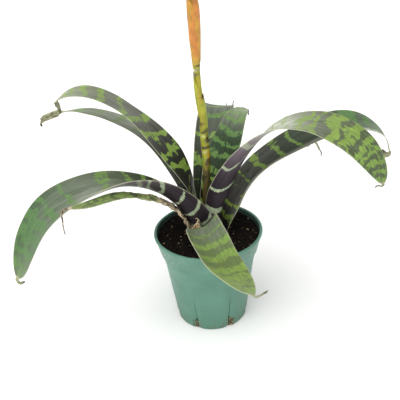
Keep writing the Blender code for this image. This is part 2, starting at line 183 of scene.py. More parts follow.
# Seen from above, azimuth 0 points to +X and 90 away from the viewer. The bends are angles at
# even steps along the blade; bands are the green crossbands as (left half, right half, half width)
# in mm from the foot, and bow bends them at the margins. haze, tint, depth and dry run evenly from
# the foot to the end: the pale haze (grey bloom of scales, with painted sheen where the blade faces
# the light), yellow green to deep green, how strong the dark shows, and how dried the leaf is. The
# sizes and bends were fitted to the photo's outlines by a separate search program and rounded, not
# chosen one by one. The first band places came from the photo through another program, and were
# changed by hand after that.
leaves = {
    "leaf_left_arching": dict(
        azimuth=220, radius=15.3, length=234, width=46, sheath=1.05, neck=0.97,
        lean=[6, 45, 77, 106, 145, 156], roll=[54, 31, 11, -6, -21, -42], sway=[-45, -34, -16, -26, -31],
        channel=[0.066, 0.054, 0.034, 0.027, 0.024, 0.029], taper=0.32, blunt=0.6, wisp=10, wispWidth=3.4,
        wispHold=0.45, wispCrinkle=1.6, wispLean=[0, 50, 100, 100], wispSway=[0, -10, 80],
        bands=[(14.5, 14, 1.5), (28, 27, 1.5), (43, 42, 1.4), (62, 61, 1.7), (73.5, 72, 1.8), (84, 86, 2.6),
               (97, 106, 0.9), (109, 111, 2.6), (140, 145, 2.2), (158, 165, 2.8), (174, 179, 5.5),
               (190, 193, 5.5), (205, 207, 4.5), (219, 222, 3.5), (231, 232, 3)],
        bow=[6, 6, 2, -1, 0], wander=[0.05, 0.05, 0.4, 0.5, 0.6, 0.9, 1], hazeLean=-0.5,
        haze=[0.03, 0.03, 0.06, 0.38, 0.8, 0.6, 0.45, 0.4, 0.7],
        tint=[0.3, 0.2, 0.2, 0.5, 0.65, 0.8, 0.9, 0.9, 0.7], depth=[1, 1, 1, 0.9, 0.8, 0.8, 0.75, 0.6, 0.5],
        dry=[0, 0, 0, 0, 0, 0.1], dryEnd=4),
    "leaf_left_upper": dict(
        azimuth=160, radius=9.0, length=208, width=32, sheath=0.61, neck=0.85,
        lean=[0, 18, 37, 54, 78, 128], roll=[38, -8, 11, -22], sway=[11, 1, 1],
        channel=[0.025, 0.01, 0.009, 0.015], taper=0.28, blunt=0.8, wisp=16, wispWidth=4.5, wispHold=0.6,
        wispCrinkle=1.8, wispLean=[0, 25, 40, 35], wispSway=[0, -120, -50],
        bands=[(12, 15, 2.5), (32, 29, 1.2), (43, 46, 0.7), (67, 57, 3.6), (82, 75, 3.2), (104, 92, 3.0),
               (123, 115, 3.8), (133, 144, 3.2), (153, 164, 3.0), (170, 179, 2.4), (188, 191, 1.6),
               (196, 198, 1.5)],
        bow=[1.5], wander=[1, 1, 0.7, 0.3, 0.2], haze=[0, 0, 0.03, 0.15, 0.5, 0.7, 0.85, 1.05],
        tint=[0.1, 0.1, 0.15, 0.2, 0.2, 0.15, 0.1], depth=[1, 1, 1, 1, 0.9, 0.75, 0.6],
        dry=[0, 0, 0, 0, 0.1, 0.45]),
    "leaf_left_behind": dict(
        azimuth=149, radius=12.3, length=199, width=30, sheath=0.94, neck=0.86,
        lean=[0, 30, 44, 67, 86, 105], roll=[7, 6, 13, 4], sway=[-13, 3, 5],
        channel=[0.043, 0.032, 0.007, 0.019], taper=0.3, blunt=0.75, wisp=40, wispWidth=6.5, wispHold=0.85,
        wispCurl=0.15, wispRoll=-70, wispCrinkle=1.2, wispLean=[0, 5, 15, 60], wispSway=[0, 10, -60],
        bands=[(14, 14, 1.0), (32, 34, 1.6), (48, 49, 0.8), (64, 65, 1.6), (80, 82, 1.6), (96, 97, 1.1),
               (112, 113, 2.6), (131, 132, 3.4), (153, 154, 3.2), (176, 178, 6), (190, 191, 4)],
        bow=[3], wander=[0.2, 0.4, 0.7], haze=[0.1, 0.2, 0.6, 0.85, 0.95, 0.85, 0.9],
        tint=[0.4, 0.4, 0.4, 0.5, 0.5, 0.5], depth=[1, 1, 0.95, 0.8, 0.7, 0.65, 0.5],
        dry=[0, 0, 0, 0, 0, 0.5]),
    "leaf_left_withered": dict(
        crumple=3.0, azimuth=201, radius=17.7, length=149, width=16, sheath=0.99, neck=0.84,
        lean=[2, 32, 54, 66, 90, 80], roll=[-13, -11, 3, -12], sway=[15, 15, 6],
        channel=[0.03, 0.011, 0.012, 0.016], taper=0.29, blunt=0.9, wisp=26, wispWidth=1.2,
        wispLean=[0, 95, 115, 10], wispSway=[0, 90, 80],
        bands=[(12, 13, 2), (26, 24, 2), (39, 41, 2), (53, 52, 2.5), (67, 69, 3), (81, 80, 4), (100, 98, 7),
               (118, 117, 8), (137, 137, 8)],
        bow=[1], wander=[1.2, 1], haze=[0.1, 0.2, 0.2, 0.15, 0.15, 0.3], tint=[0.2, 0.2, 0.3, 0.5, 0.6],
        depth=[1, 1, 0.9, 0.7, 0.6], dry=[0.75, 0.7, 0.6, 0.3, 0.15, 0.4]),
    "leaf_back_tall": dict(
        azimuth=82, radius=7.6, length=201, width=35, sheath=0.6, neck=0.9, lean=[8, 27, 57, 85, 113, 136],
        roll=[24, 7, 4, 15], sway=[-7, -1, 4], channel=[0.045, 0.03, 0.013, -0.002], taper=0.32, blunt=0.82,
        wisp=8, wispWidth=2, wispLean=[0, -60], wispSway=[0, 0],
        bands=[(16, 15, 1.5), (36, 34, 1.0), (57, 55, 4.2), (85, 82, 3.8), (110, 118, 3.8), (136, 140, 3.6),
               (177, 178, 3.5), (193, 193, 3)],
        bow=[1.5], wander=[1, 0.8, 0.4], haze=[0, 0.05, 0.1, 0.3, 0.5, 0.6, 0.5],
        tint=[0.3, 0.3, 0.4, 0.7, 0.25, 0.4], depth=[1, 1, 1, 0.95, 0.8, 0.6], dry=[0, 0, 0, 0, 0.2]),
    "leaf_back_right": dict(
        azimuth=54, radius=5.8, length=127, width=33, sheath=0.59, neck=0.79, lean=[9, 19, 30, 33, 61, 122],
        roll=[13, 18, -9, 7], sway=[-7, 2, 1], channel=[0.073, 0.043, -0.016, 0.025], taper=0.41,
        blunt=0.72, wisp=9, wispWidth=3, wispLean=[0, 50, -15], wispSway=[0, 12],
        bands=[(12, 13, 3), (24, 23, 3), (35, 37, 3.2), (48, 46, 3), (63, 60, 2.8), (75, 71, 2.0),
               (88, 85, 2.8), (99, 98, 2.4), (107, 106, 2.6), (116, 115, 3.4), (124, 123, 2)],
        bow=[5], wander=[1.3, 1, 0.4, 0.3, 0.6], haze=[0, 0, 0, 0, 0.1, 0.8, 1.2],
        tint=[0, 0.1, 0.6, 0.8, 0.7, 0.5], depth=[1, 1, 1, 1, 0.85, 0.6], dry=[0, 0, 0, 0, 0.1, 0.5]),
    "leaf_right_front": dict(
        azimuth=-21, radius=9.6, length=230, width=40, sheath=0.73, neck=0.88,
        lean=[8, 22, 42, 82, 120, 166], roll=[-60, -29, 8, 33], sway=[24, 7, -19],
        channel=[0.098, 0.025, 0.008, -0.043], taper=0.37, blunt=0.52, wisp=9, wispWidth=2.4, wispHold=0.3,
        wispLean=[0, 100, 60], wispSway=[0, 0, 110],
        bands=[(19, 19, 2.6), (48, 39, 1.7), (86, 62, 1.4), (97, 90, 3.4), (112, 113, 1.5), (124, 124, 1.2),
               (140, 137, 3.6), (152, 148, 2.6), (166, 167, 5.2), (181, 182, 5.5), (194.5, 194.5, 2.6),
               (203, 203, 2.4), (211.5, 211.5, 2.2), (219, 219, 2.0), (226.5, 226.5, 2.5)],
        bow=[3, 3, 3, 2, 1], wander=[0.1, 0.1, 0.4, 0.9, 0.6, 0.3],
        haze=[0, 0.03, 0.1, 0.6, 1.2, 0.85, 0.35, 0.25, 0.3],
        tint=[0.2, 0.1, 0, 0, 0.2, 0.2, 0.2, 0.35, 0.45], depth=[1, 1, 1, 0.9, 0.8, 0.8, 0.8],
        dry=[0, 0, 0, 0, 0, 0.05], dryEnd=3),
    "leaf_right_behind": dict(
        azimuth=10, radius=18.4, length=226, width=31, sheath=0.6, neck=0.77,
        lean=[7, 31, 61, 70, 110, 167], roll=[33, 18, 19, 16], sway=[7, -3, 6],
        channel=[0.055, 0.045, 0.02, 0.016], taper=0.33, blunt=0.87, wisp=14, wispWidth=5, wispHold=0.7,
        wispCurl=0.3, wispRoll=75, wispCrinkle=1.0, wispLean=[0, 60, 170, 160], wispSway=[0, -35, 30],
        bands=[(13, 13, 4.2), (28, 28, 1.8), (42, 43, 0.8), (57, 57, 0.9), (73, 75, 2.2), (93, 98, 1.5),
               (109, 116, 1.4), (130, 135, 2.2), (148, 150, 2.6), (165, 166, 8), (184, 185, 3.4),
               (197, 197, 3.4), (212, 212, 5)],
        bow=[1.5], wander=[0.8, 0.5, 0.25, 0.8], rolled=1, haze=[0.1, 0.3, 0.35, 0.15, 0.12, 0.2, 0.6, 0.8],
        tint=[0, 0, 0.2, 0.5, 0.8, 0.9, 0.6], depth=[1, 1, 1, 1, 0.95, 0.8, 0.6],
        dry=[0.1, 0, 0, 0, 0, 0.1, 0.5]),
    "leaf_right_hidden": dict(
        azimuth=44, radius=19.9, length=148, width=19, sheath=0.79, neck=0.62,
        lean=[4, 45, 62, 75, 86, 114], roll=[-9, 16, 5, 39], sway=[5, -9, -17],
        channel=[0.057, 0.024, 0.02, 0.018], taper=0.12, blunt=0.74, wisp=25, wispWidth=4, wispHold=0.2,
        wispCurl=0.3, wispLean=[0, 40, 30, 55], wispSway=[0, -15, 80],
        bands=[(14, 15, 2), (31, 30, 2), (49, 50, 2.2), (68, 67, 2.4), (87, 88, 2.6), (106, 105, 2.8),
               (124, 125, 3), (140, 140, 3)],
        bow=[2], wander=[1, 1], haze=[0.1, 0.2, 0.2, 0.3, 0.4], tint=[0.2, 0.3, 0.4, 0.4],
        depth=[1, 1, 0.9, 0.7], dry=[0.1, 0, 0, 0.1, 0.8]),
    "leaf_front": dict(
        azimuth=-80, radius=16.9, length=194, width=33, sheath=0.8, neck=0.8, lean=[20, 53, 75, 85, 78, 75],
        roll=[48, 36, -2, -16, -15], sway=[-36, -2, 12], channel=[0.065, 0.053, 0.043, 0.026, 0.02],
        taper=0.3, blunt=0.66, wisp=15, wispWidth=0.4, wispLean=[0, 5, 45, 20], wispSway=[0, 120, 125],
        bands=[(15, 15, 1.8), (33, 34, 2), (51, 54, 1.6), (66, 70, 2.0), (82, 96, 1.7), (104, 115, 4.0),
               (124, 134, 4.6), (146, 153, 5.2), (160, 166, 6), (173, 177, 5), (187, 188, 5)],
        bow=[0], wander=[0.4, 0.4, 0.5, 0.9], haze=[0.1, 0.2, 0.45, 0.6, 0.35, 0.25, 0.35, 0.9],
        tint=[0.3, 0.4, 0.45, 0.3, 0.2, 0.25], depth=[1, 1, 0.7, 0.55, 0.5, 0.45],
        dry=[0, 0, 0, 0, 0.05, 0.05], dryEnd=2),
}
# A strip without crossbands, dead and dry, which the torn ends, the husk and its shreds start from
plainStrip = dict(bands=[(-50, -50, 1)], bow=[0], wander=[0], haze=[0], tint=[0], depth=[1], dry=[1],
                  roll=[0], sway=[0], sheath=1, neck=1, taper=1, blunt=1, wispSway=[0])
# Shreds standing up along the torn end of the tall back leaf
tearShape = dict(plainStrip, haze=[0.4], tint=[0.5], dry=[0.6], radius=4, channel=[0.05],
                 wispWidth=0.5, wispLean=[0, 40], rows=30)
tears = (dict(foot=(34.0, 118.3, 172), azimuth=30, length=6, width=2.4, lean=[0, 10], wisp=2.5),
         dict(foot=(27, 119.5, 173), azimuth=0, length=3.5, width=5, lean=[0, 20], wisp=0.5),
         dict(foot=(18, 120, 173), azimuth=180, length=3, width=7, lean=[0, 30], wisp=0.5))
# Steps are those of the middle line, one unit of the UV map is uvSpan long, and footShade is
# how far painted shade reaches up from a leaf's foot, in mm
leafMesh = dict(columns=28, rows=200, wispRows=24, steps=300, wispSteps=60, thickness=0.5,
                thinShell=0.3, rippleHeight=0.45, rippleLength=26, crinkle=0.5, lift=0.95,
                footShade=32, uvSpan=100)
# Shares of the length where the bends have taken hold, the neck ends, the blade starts to widen
# and how long that takes, and where it has opened; then what a leaf has unless it says otherwise
leafForm = dict(bentAt=0.16, neckAt=0.18, widerFrom=0.15, widerOver=0.4, openAt=0.2,
                hairWidth=0.25, wispCurl=0.9, dryEnd=9)
# How coarsely the crossbands wander, break at the middle line and change width, in mm
bandNoise = dict(wander=6.5, along=10.5, across=9.5, fray=2.6, fault=8.0, faultLength=19.0,
                 swell=2.6)


def leafPath(leaf):
    # Middle line and cross frame at even steps: share of length, share of wisp, point, two axes
    steps, wispSteps = leafMesh["steps"], leafMesh["wispSteps"]
    start = radians(leaf["azimuth"])
    radius = leaf["radius"]
    point = (cos(start) * radius, sin(start) * radius, crownHeight(radius) + leafMesh["lift"])
    point = Vector(leaf.get("foot", point))
    path = []
    lastTangent = None
    for i in range(steps + wispSteps + 1):
        t = min(i / steps, 1.0)
        w = max(0.0, (i - steps) / wispSteps)
        free = ease(t / leafForm["bentAt"])
        lean = radians(along(leaf["lean"], t) + along(leaf["wispLean"], w))
        head = start + radians(along(leaf["sway"], t) * free + along(leaf["wispSway"], w))
        roll = radians(along(leaf["roll"], t) * free + leaf.get("wispRoll", 0) * ease(w * 5))
        out = Vector((cos(head), sin(head), 0))
        up = Vector((0, 0, 1))
        tangent = out * sin(lean) + up * cos(lean)
        inward = up * sin(lean) - out * cos(lean)
        across = tangent.cross(inward)
        if lastTangent is not None:
            step = leaf["length"] / steps if w == 0 else leaf["wisp"] / wispSteps
            point = point + (tangent + lastTangent) * 0.5 * step
        lastTangent = tangent
        path.append((t, w, point.copy(), across * cos(roll) - inward * sin(roll),
                     inward * cos(roll) + across * sin(roll)))
    return path


def leafHalfWidth(leaf, t, w):
    tip = leaf["wispWidth"] / 2
    if w > 0:
        hold = leaf.get("wispHold", 0)
        return tip + (leafForm["hairWidth"] - tip) * ease((w - hold) / (1 - hold))
    neck = ease(t / leafForm["neckAt"])
    wide = leaf["sheath"] * (1 - neck) + leaf["neck"] * neck
    full = ease((t - leafForm["widerFrom"]) / leafForm["widerOver"])
    wide = wide * (1 - full) + full
    closing = sin(min((1 - t) / leaf["taper"], 1.0) * pi / 2) ** leaf["blunt"]
    return max(leaf["width"] / 2 * wide * closing, tip)


def leafCurl(leaf, t, w):
    opened = ease(t / leafForm["openAt"])
    curl = (1 - opened) / leaf["radius"] + opened * along(leaf["channel"], t)
    wispCurl = leaf.get("wispCurl", leafForm["wispCurl"])
    return curl + wispCurl * ease(w * 3) / max(leaf["wispWidth"], 1)


def bandPlace(leaf, index, distance, reach, half):
    # How far a point lies inside the nearest green band, in mm, negative outside
    coarse = Vector((distance / bandNoise["along"], reach / bandNoise["across"], index * 5.3))
    fault = noise.noise(Vector((distance / bandNoise["faultLength"], 4.1, index * 3.7)))
    shift = bandNoise["wander"] * noise.noise(coarse) + bandNoise["fray"] * noise.noise(coarse * 3)
    shift += bandNoise["fault"] * fault * (2 * ease(0.5 + reach / 4) - 1)
    share = distance / leaf["length"]
    wander = along(leaf["wander"], share)
    at = distance - along(leaf["bow"], share) * abs(reach / half) ** 3 + wander * shift
    right = ease(0.5 + reach / (1.3 * half))
    inside = max(wide - abs(at - first - (second - first) * right)
                 for first, second, wide in leaf["bands"])
    swell = noise.noise(coarse * 1.6 + Vector((9.0, 2.0, 0)))
    return inside + (0.25 + 0.75 * wander) * bandNoise["swell"] * swell


leafFacts = ("leafBand", "leafEdge", "leafHaze", "leafTint", "leafDepth", "leafDry", "leafFootShade")


def leafBlade(leaf, index, rows=leafMesh["rows"]):
    # A grid bent along the middle line and cupped across it, with what the surface needs to know
    path = leafPath(leaf)
    wispRows = leafMesh["wispRows"]
    total = rows + wispRows
    bm = bmesh.new()
    bmesh.ops.create_grid(bm, x_segments=leafMesh["columns"], y_segments=total, size=1)
    layers = {key: bm.verts.layers.float.new(key) for key in leafFacts}
    places = {}
    for v in bm.verts:
        row = round((v.co.y + 1) / 2 * total)
        side = v.co.x
        at = round(min(row / rows, 1) * leafMesh["steps"])
        at += round(max(row - rows, 0) / wispRows * leafMesh["wispSteps"])
        t, w, point, across, inward = path[at]
        half = leafHalfWidth(leaf, t, w)
        distance = t * leaf["length"] + w * leaf["wisp"]
        curl = leafCurl(leaf, t, w)
        reach = side * half
        turn = reach * curl
        flat = sin(turn) / curl if abs(curl) > 1e-5 else reach
        lift = (1 - cos(turn)) / curl if abs(curl) > 1e-5 else 0.0
        grain = Vector((distance / leafMesh["rippleLength"], side * 1.5, index * 7.3))
        free = ease((t - 0.2) / 0.2)
        lift += free * leafMesh["rippleHeight"] * abs(side) ** 1.5 * 2 * noise.noise(grain)
        crumple = leaf.get("crumple", 0) * ease(t / 0.1) * (1 - ease((t - 0.45) / 0.3))
        lift += crumple * (noise.noise(grain * 3) + 0.5 * noise.noise(grain * 7))
        crinkle = leaf.get("wispCrinkle", leafMesh["crinkle"])
        lift += ease(w * 6) * crinkle * noise.noise(grain * 9)
        v.co = point + across * flat + inward * lift
        # Pale haze: grey bloom of scales and painted sheen, more along the rolled margin
        haze = along(leaf["haze"], t) * (1 + leaf.get("hazeLean", 0) * side)
        haze += 0.7 * ease(t * 5) * ease((side * leaf.get("rolled", 0) - 0.5) / 0.3)
        left = (1 - t) * leaf["length"] / leaf.get("dryEnd", leafForm["dryEnd"])
        dry = max(along(leaf["dry"], t), ease(1 - left))
        facts = (bandPlace(leaf, index, distance, reach, half) if w == 0 else -4,
                 half - abs(reach), haze, along(leaf["tint"], t), along(leaf["depth"], t), dry + w,
                 1 - ease(t * leaf["length"] / leafMesh["footShade"]))
        for key, value in zip(leafFacts, facts):
            v[layers[key]] = value
        places[v] = (0.5 + reach / leafMesh["uvSpan"], distance / leafMesh["uvSpan"] + index * 4)
    place = bm.loops.layers.uv.new("leafPlace")
    for face in bm.faces:
        for corner in face.loops:
            corner[place].uv = places[corner.vert]
    return bm


# Living bromeliad leaf: waxy and leathery, grown with ragged crossbands, long fine veins and a
# grey bloom of tiny scales, which also carries painted sheen where the blade faces the light. The
# eye gets a soft broad sheen along it and none at the dried end.
leafFace = dict(yellowGreen="#7d963e", deepGreen="#42673c", darkPurple="#191212",
                darkGreen="#2a4024", haze="#8f9088", bloomAndSheen="#cdd3bf", margin="#b4b49c",
                dried="#4c4735", driedPale="#a0a281", tooth=1.2, toothWidth=1.5, toothLength=10.0,
                fine=0.7, fineWidth=0.5, fineLength=6.0, blotch=5.6, bandShrink=0.0, hazeWidth=3.2,
                hazeLength=30.0, hazeOnGreen=0.28, spotFrom=0.58)
leafUnder = dict(yellowGreen="#a3b090", deepGreen="#7f9674", darkPurple="#241b23",
                 darkGreen="#2d2d26", haze="#998a95", bloomAndSheen="#d5d1ca", margin="#b7b296",
                 dried="#5a523f", driedPale="#a5a68a", tooth=0.35, toothWidth=1.5,
                 toothLength=16.0, fine=0.3, fineWidth=0.5, fineLength=9.0, blotch=5.0,
                 bandShrink=0.1, hazeWidth=2.6, hazeLength=34.0, hazeOnGreen=0.7, spotFrom=0.68)


def leafSkin(name, look):
    made, tree = newMaterial(name, {"Roughness": 0.48, "Specular IOR Level": 0.18})
    uv = addNode(tree, "UVMap", uv_map="leafPlace")
    band, edge, haze, tint, depth, dried, foot = (
        addNode(tree, "Attribute", out=2, attribute_name=key) for key in leafFacts)

    # Noise drawn out along the blade: coarse teeth, fine veins and streaks of bloom, and spots
    grains = {}
    span = leafMesh["uvSpan"]
    for grain, wide, long, detail in (("tooth", look["toothWidth"], look["toothLength"], 2.0),
                                      ("fine", look["fineWidth"], look["fineLength"], 1.0),
                                      ("bloomAndSheen", look["hazeWidth"], look["hazeLength"], 4.0),
                                      ("spot", look["blotch"] * 0.8, look["blotch"] * 1.3, 2.5)):
        place = addNode(tree, "Mapping", {"Vector": uv, "Location": (0, 0, wide),
                                          "Scale": (span / wide, span / long, 1)})
        grains[grain] = addNode(tree, "TexNoise", {"Vector": place, "Scale": 1.0,
                                                   "Detail": detail, "Roughness": 0.58})
    tooth, fine, streaks, spot = grains.values()

    # Crossbands, their edges toothed along the veins
    for grain in ("tooth", "fine"):
        shift = addNode(tree, "MapRange", {0: grains[grain], 1: 0.25, 2: 0.75, 3: -look[grain],
                                           4: look[grain]})
        band = addNode(tree, "Math", {0: band, 1: shift}, operation="ADD")
    shrink, spotFrom = look["bandShrink"], look["spotFrom"]
    green = addNode(tree, "MapRange", {0: band, 1: shrink - 0.5, 2: shrink + 0.5}, **smooth)

    # Stray dark spots inside the green, and a few green ones in the dark beside a band
    darkSpots = addNode(tree, "MapRange", {0: spot, 1: spotFrom, 2: spotFrom + 0.06, 4: 0.85},
                        **smooth)
    nearBand = addNode(tree, "MapRange", {0: band, 1: -5.0, 2: -0.5})
    greenSpots = addNode(tree, "MapRange", {0: spot, 1: 0.96 - spotFrom, 2: 0.9 - spotFrom},
                         **smooth)
    greenSpots = addNode(tree, "Math", {0: greenSpots, 1: nearBand}, operation="MULTIPLY")
    green = addNode(tree, "Math", {0: green, 1: darkSpots}, operation="SUBTRACT", use_clamp=True)
    green = addNode(tree, "Math", {0: green, 1: greenSpots}, operation="MAXIMUM")
    dark = addNode(tree, "Math", {0: 1.0, 1: green}, operation="SUBTRACT")
    dark = addNode(tree, "Math", {0: dark, 1: depth}, operation="MULTIPLY")
    greens, darks = (
        addNode(tree, "Mix", {0: tint, 6: srgb(look[pale]), 7: srgb(look[deep])}, 2, **colors)
        for pale, deep in (("yellowGreen", "deepGreen"), ("darkPurple", "darkGreen")))
    skin = addNode(tree, "Mix", {0: dark, 6: greens, 7: darks}, 2, **colors)

    # Veins lighten and darken the skin a little
    for grain, low, high in ((fine, 0.86, 1.14), (tooth, 0.84, 1.16), (spot, 0.84, 1.15)):
        streak = addNode(tree, "MapRange", {0: grain, 1: 0.3, 2: 0.7, 3: low, 4: high})
        skin = addNode(tree, "VectorMath", {0: skin, "Scale": streak}, operation="SCALE")

    # Grey bloom of scales with painted sheen, in lengthwise streaks, thicker on the dark than on the
    # green; where the haze is strongest it turns whiter, as painted highlight
    patchy = addNode(tree, "MapRange", {0: streaks, 1: 0.3, 2: 0.7, 3: 0.35})
    hold = addNode(tree, "MapRange", {0: dark, 3: look["hazeOnGreen"]})
    bloomAndSheen = addNode(tree, "Math", {0: haze, 1: patchy}, operation="MULTIPLY")
    bloomAndSheen = addNode(tree, "Math", {0: bloomAndSheen, 1: hold}, operation="MULTIPLY", use_clamp=True)
    whiter = addNode(tree, "MapRange", {0: haze, 1: 0.7, 2: 1.3})
    bloomSheenTone = addNode(tree, "Mix", {0: whiter, 6: srgb(look["haze"]), 7: srgb(look["bloomAndSheen"])}, 2,
                     **colors)

    # A thin pale margin, and dried parts that spread in from the end with a ragged front
    rim = addNode(tree, "MapRange", {0: edge, 1: 0.7, 2: 0.15, 4: 0.55})
    dryPush = addNode(tree, "Math", {0: spot, 1: 0.9, 2: dried}, operation="MULTIPLY_ADD")
    dryShare = addNode(tree, "MapRange", {0: dryPush, 1: 0.8, 2: 1.1}, **smooth)
    paler = addNode(tree, "MapRange", {0: tooth, 1: 0.3, 2: 0.52})
    point = addNode(tree, "MapRange", {0: dried, 1: 1.6, 2: 1.85, 4: 0.6})
    driedTone = srgb(look["dried"])
    for share, tone in ((paler, "driedPale"), (point, "dried")):
        driedTone = addNode(tree, "Mix", {0: share, 6: driedTone, 7: srgb(look[tone])}, 2, **colors)
    for share, tone in ((bloomAndSheen, bloomSheenTone), (rim, srgb(look["margin"])), (dryShare, driedTone)):
        skin = addNode(tree, "Mix", {0: share, 6: skin, 7: tone}, 2, **colors)

    # Painted shade: the feet, deep in the crown, are darker, and their dark parts most
    shade = addNode(tree, "Math", {0: dark, 1: -0.4, 2: -0.3}, operation="MULTIPLY_ADD")
    shade = addNode(tree, "Math", {0: foot, 1: shade, 2: 1.0}, operation="MULTIPLY_ADD")
    skin = addNode(tree, "VectorMath", {0: skin, "Scale": shade}, operation="SCALE")
    gloss = addNode(tree, "MapRange", {0: dryShare, 3: 0.48, 4: 0.85})
    relief = addNode(tree, "Bump", {"Height": fine, "Strength": 0.5, "Distance": 0.00025})
    linkSkin(tree, skin, relief, gloss)
    return made


leafTop = leafSkin("waxyLeafFace", leafFace)
leafBottom = leafSkin("waxyLeafUnderside", leafUnder)
# The withered leaf has gone tan and brown at its foot, with dark rot spots
witheredTones = dict(yellowGreen="#7d8f4a", deepGreen="#56753a", dried="#2b211e",
                     driedPale="#c4b294", haze="#a9a48e", spotFrom=0.54, hazeOnGreen=0.6,
                     toothWidth=3.0, toothLength=6.0)
witheredSkin = leafSkin("witheredLeaf", dict(leafFace, **witheredTones))
for index, (name, leaf) in enumerate(leaves.items()):
    withered = name.endswith("withered")
    skins = [witheredSkin, witheredSkin] if withered else [leafTop, leafBottom]
    piece = finishPiece(name + "_blade", leafBlade(leaf, index), skins, [name])
    shell(piece, leafMesh["thickness"], 1)
for index, tear in enumerate(tears):
    strip = leafBlade(dict(tearShape, **tear), 20 + index, tearShape["rows"])
    piece = finishPiece("torn_end_%d" % index, strip, [leafTop, leafBottom], [])
    shell(piece, leafMesh["thinShell"], 1)
print("leaves made", len(leaves))


# Pot: thin walled, with a band, a rolled lip and seven pressed flutes. lipCurve runs from the
# band over the lip as (in from the lip, down from the top), rows are the heights along the flutes,
# and the last table gives the painted shade in each groove and beside each slot's mouth, as (from,
# to, strength). The band and the neck began as a fit to the photo's outline.
pot = dict(height=95.0, lip=52.0, foot=35.4, wall=1.5, floor=2.6, bandBottom=76.0, band=47.2,
           neckHeight=62.0, neck=43.0, flutes=7, fluteFirst=radians(-12.8), fluteTop=46.0,
           fluteDepth=3.0, fluteHalf=5.8, grooveDepth=0.9, grooveHalf=0.5, slotWidth=3.2,
           slotBottom=-1.0, slotTop=13.0, slotReach=10.6, slotInset=1.4, steps=210,
           sharpAngle=35, lipRoll=0.6, bandStep=1.3, bendHeight=54, innerRing=86,
           floorRing=0.7, innerFrom=0.7, shadeFade=12, footCurve=((0.9, 0.0), (0.25, 0.25)),
           rows=(6, 9, 12, 15, 18, 22, 26, 30, 34, 38, 42), pressed=(1, 1, 1, 1, 1, 0.45, 0.55),
           lipCurve=((1.0, 3.0), (0.5, 2.5), (0.05, 1.8), (0, 1.1), (0.2, 0.4), (0.7, 0), (2.0, 0),
                     (2.5, 0.4), (2.7, 1.2)),
           shadeSpans=((-7, 2, 1), (-2, 2, 0.6), (-2, 3, 0.5), (-3, 2, 0.6), (-2, 7, 1),
                   (-1.5, 1, 0.12), (-0.8, 1.2, 0.25)))


def fluteTurn(angle):
    # Angle from the nearest valley
    step = 2 * pi / pot["flutes"]
    return (angle - pot["fluteFirst"] + step / 2) % step - step / 2


def fluteNumber(angle):
    return round((angle - pot["fluteFirst"]) * pot["flutes"] / (2 * pi)) % pot["flutes"]


def fluteOffset(angle, height):
    # How far the wall is pressed in beside the drain slots
    if height >= pot["fluteTop"]:
        return 0.0
    reach = 1 - height / pot["fluteTop"]
    away = abs(fluteTurn(angle)) * pot["foot"]
    dent = pot["fluteDepth"] * reach ** 0.8
    groove = pot["grooveDepth"] * ease(reach * 3)
    share = dent * max(0.0, 1 - away / (pot["fluteHalf"] * (0.35 + 0.65 * reach)))
    share += groove * max(0.0, 1 - away / pot["grooveHalf"])
    return share * pot["pressed"][fluteNumber(angle)]


def pressFlutes(bm):
    # Draws the columns of the mesh in towards each valley, then presses the valleys in
    for v in bm.verts:
        radius = (v.co.x ** 2 + v.co.y ** 2) ** 0.5
        if radius < 1:
            continue
        angle = atan2(v.co.y, v.co.x)
        turn = fluteTurn(angle)
        share = abs(turn) * pot["flutes"] / pi
        angle += turn * (share ** 0.7 - 1)
        if radius > pot["foot"] * 0.75:
            radius -= fluteOffset(angle, v.co.z)
        v.co.x = radius * cos(angle)
        v.co.y = radius * sin(angle)


def wallRadius(height):
    if height > pot["bandBottom"]:
        f = (height - pot["bandBottom"]) / (pot["height"] - pot["bandBottom"])
        return pot["band"] + (pot["lip"] - pot["lipRoll"] - pot["band"]) * f
    if height > pot["neckHeight"]:
        f = (height - pot["neckHeight"]) / (pot["bandBottom"] - pot["neckHeight"])
        return pot["neck"] + (pot["band"] - pot["bandStep"] - pot["neck"]) * f
    return pot["foot"] + (pot["neck"] - pot["foot"]) * height / pot["neckHeight"]


def potMesh():
    ring = pot["foot"] * pot["floorRing"]
    outer = [(0, 0.0), (ring, 0.0)] + [(pot["foot"] - back, up) for back, up in pot["footCurve"]]
    outer += [(wallRadius(h), h) for h in (0.9, 3, *pot["rows"], pot["fluteTop"],
                                           pot["bendHeight"], pot["neckHeight"])]
    outer += [(pot["band"] - back, pot["bandBottom"] + up)
              for back, up in ((1.4, -1.2), (0.4, -0.6), (0, 0.3))]
    outer += [(pot["lip"] - back, pot["height"] - down) for back, down in pot["lipCurve"]]
    inner = [(wallRadius(h) - pot["wall"], h)
             for h in (pot["innerRing"], pot["bandBottom"], pot["neckHeight"], pot["fluteTop"],
                       *reversed(pot["rows"]), pot["floor"])]
    inner += [(ring, pot["floor"]), (0, pot["floor"])]
    bm = spun(outer + inner, pot["steps"], pot["fluteFirst"])
    pressFlutes(bm)
    # Painted shade: full inside the wall, and along each groove and slot mouth, fading upward
    paintedShade = bm.verts.layers.float.new("potPaintedShade")
    for v in bm.verts:
        radius = (v.co.x ** 2 + v.co.y ** 2) ** 0.5
        angle = atan2(v.co.y, v.co.x)
        inside = radius < wallRadius(v.co.z) - fluteOffset(angle, v.co.z) - pot["innerFrom"]
        low, high, shadeStrength = pot["shadeSpans"][fluteNumber(angle)]
        side = fluteTurn(angle) * pot["foot"]
        reach = max(0.0, 1 - v.co.z / pot["fluteTop"]) ** 0.7
        valley = shadeStrength * ease(0.5 + min(side - low * reach, high * reach - side))
        valley *= ease((pot["fluteTop"] - v.co.z) / pot["shadeFade"])
        v[paintedShade] = 1.0 if inside and v.co.z < pot["height"] - 0.5 else valley
    return bm


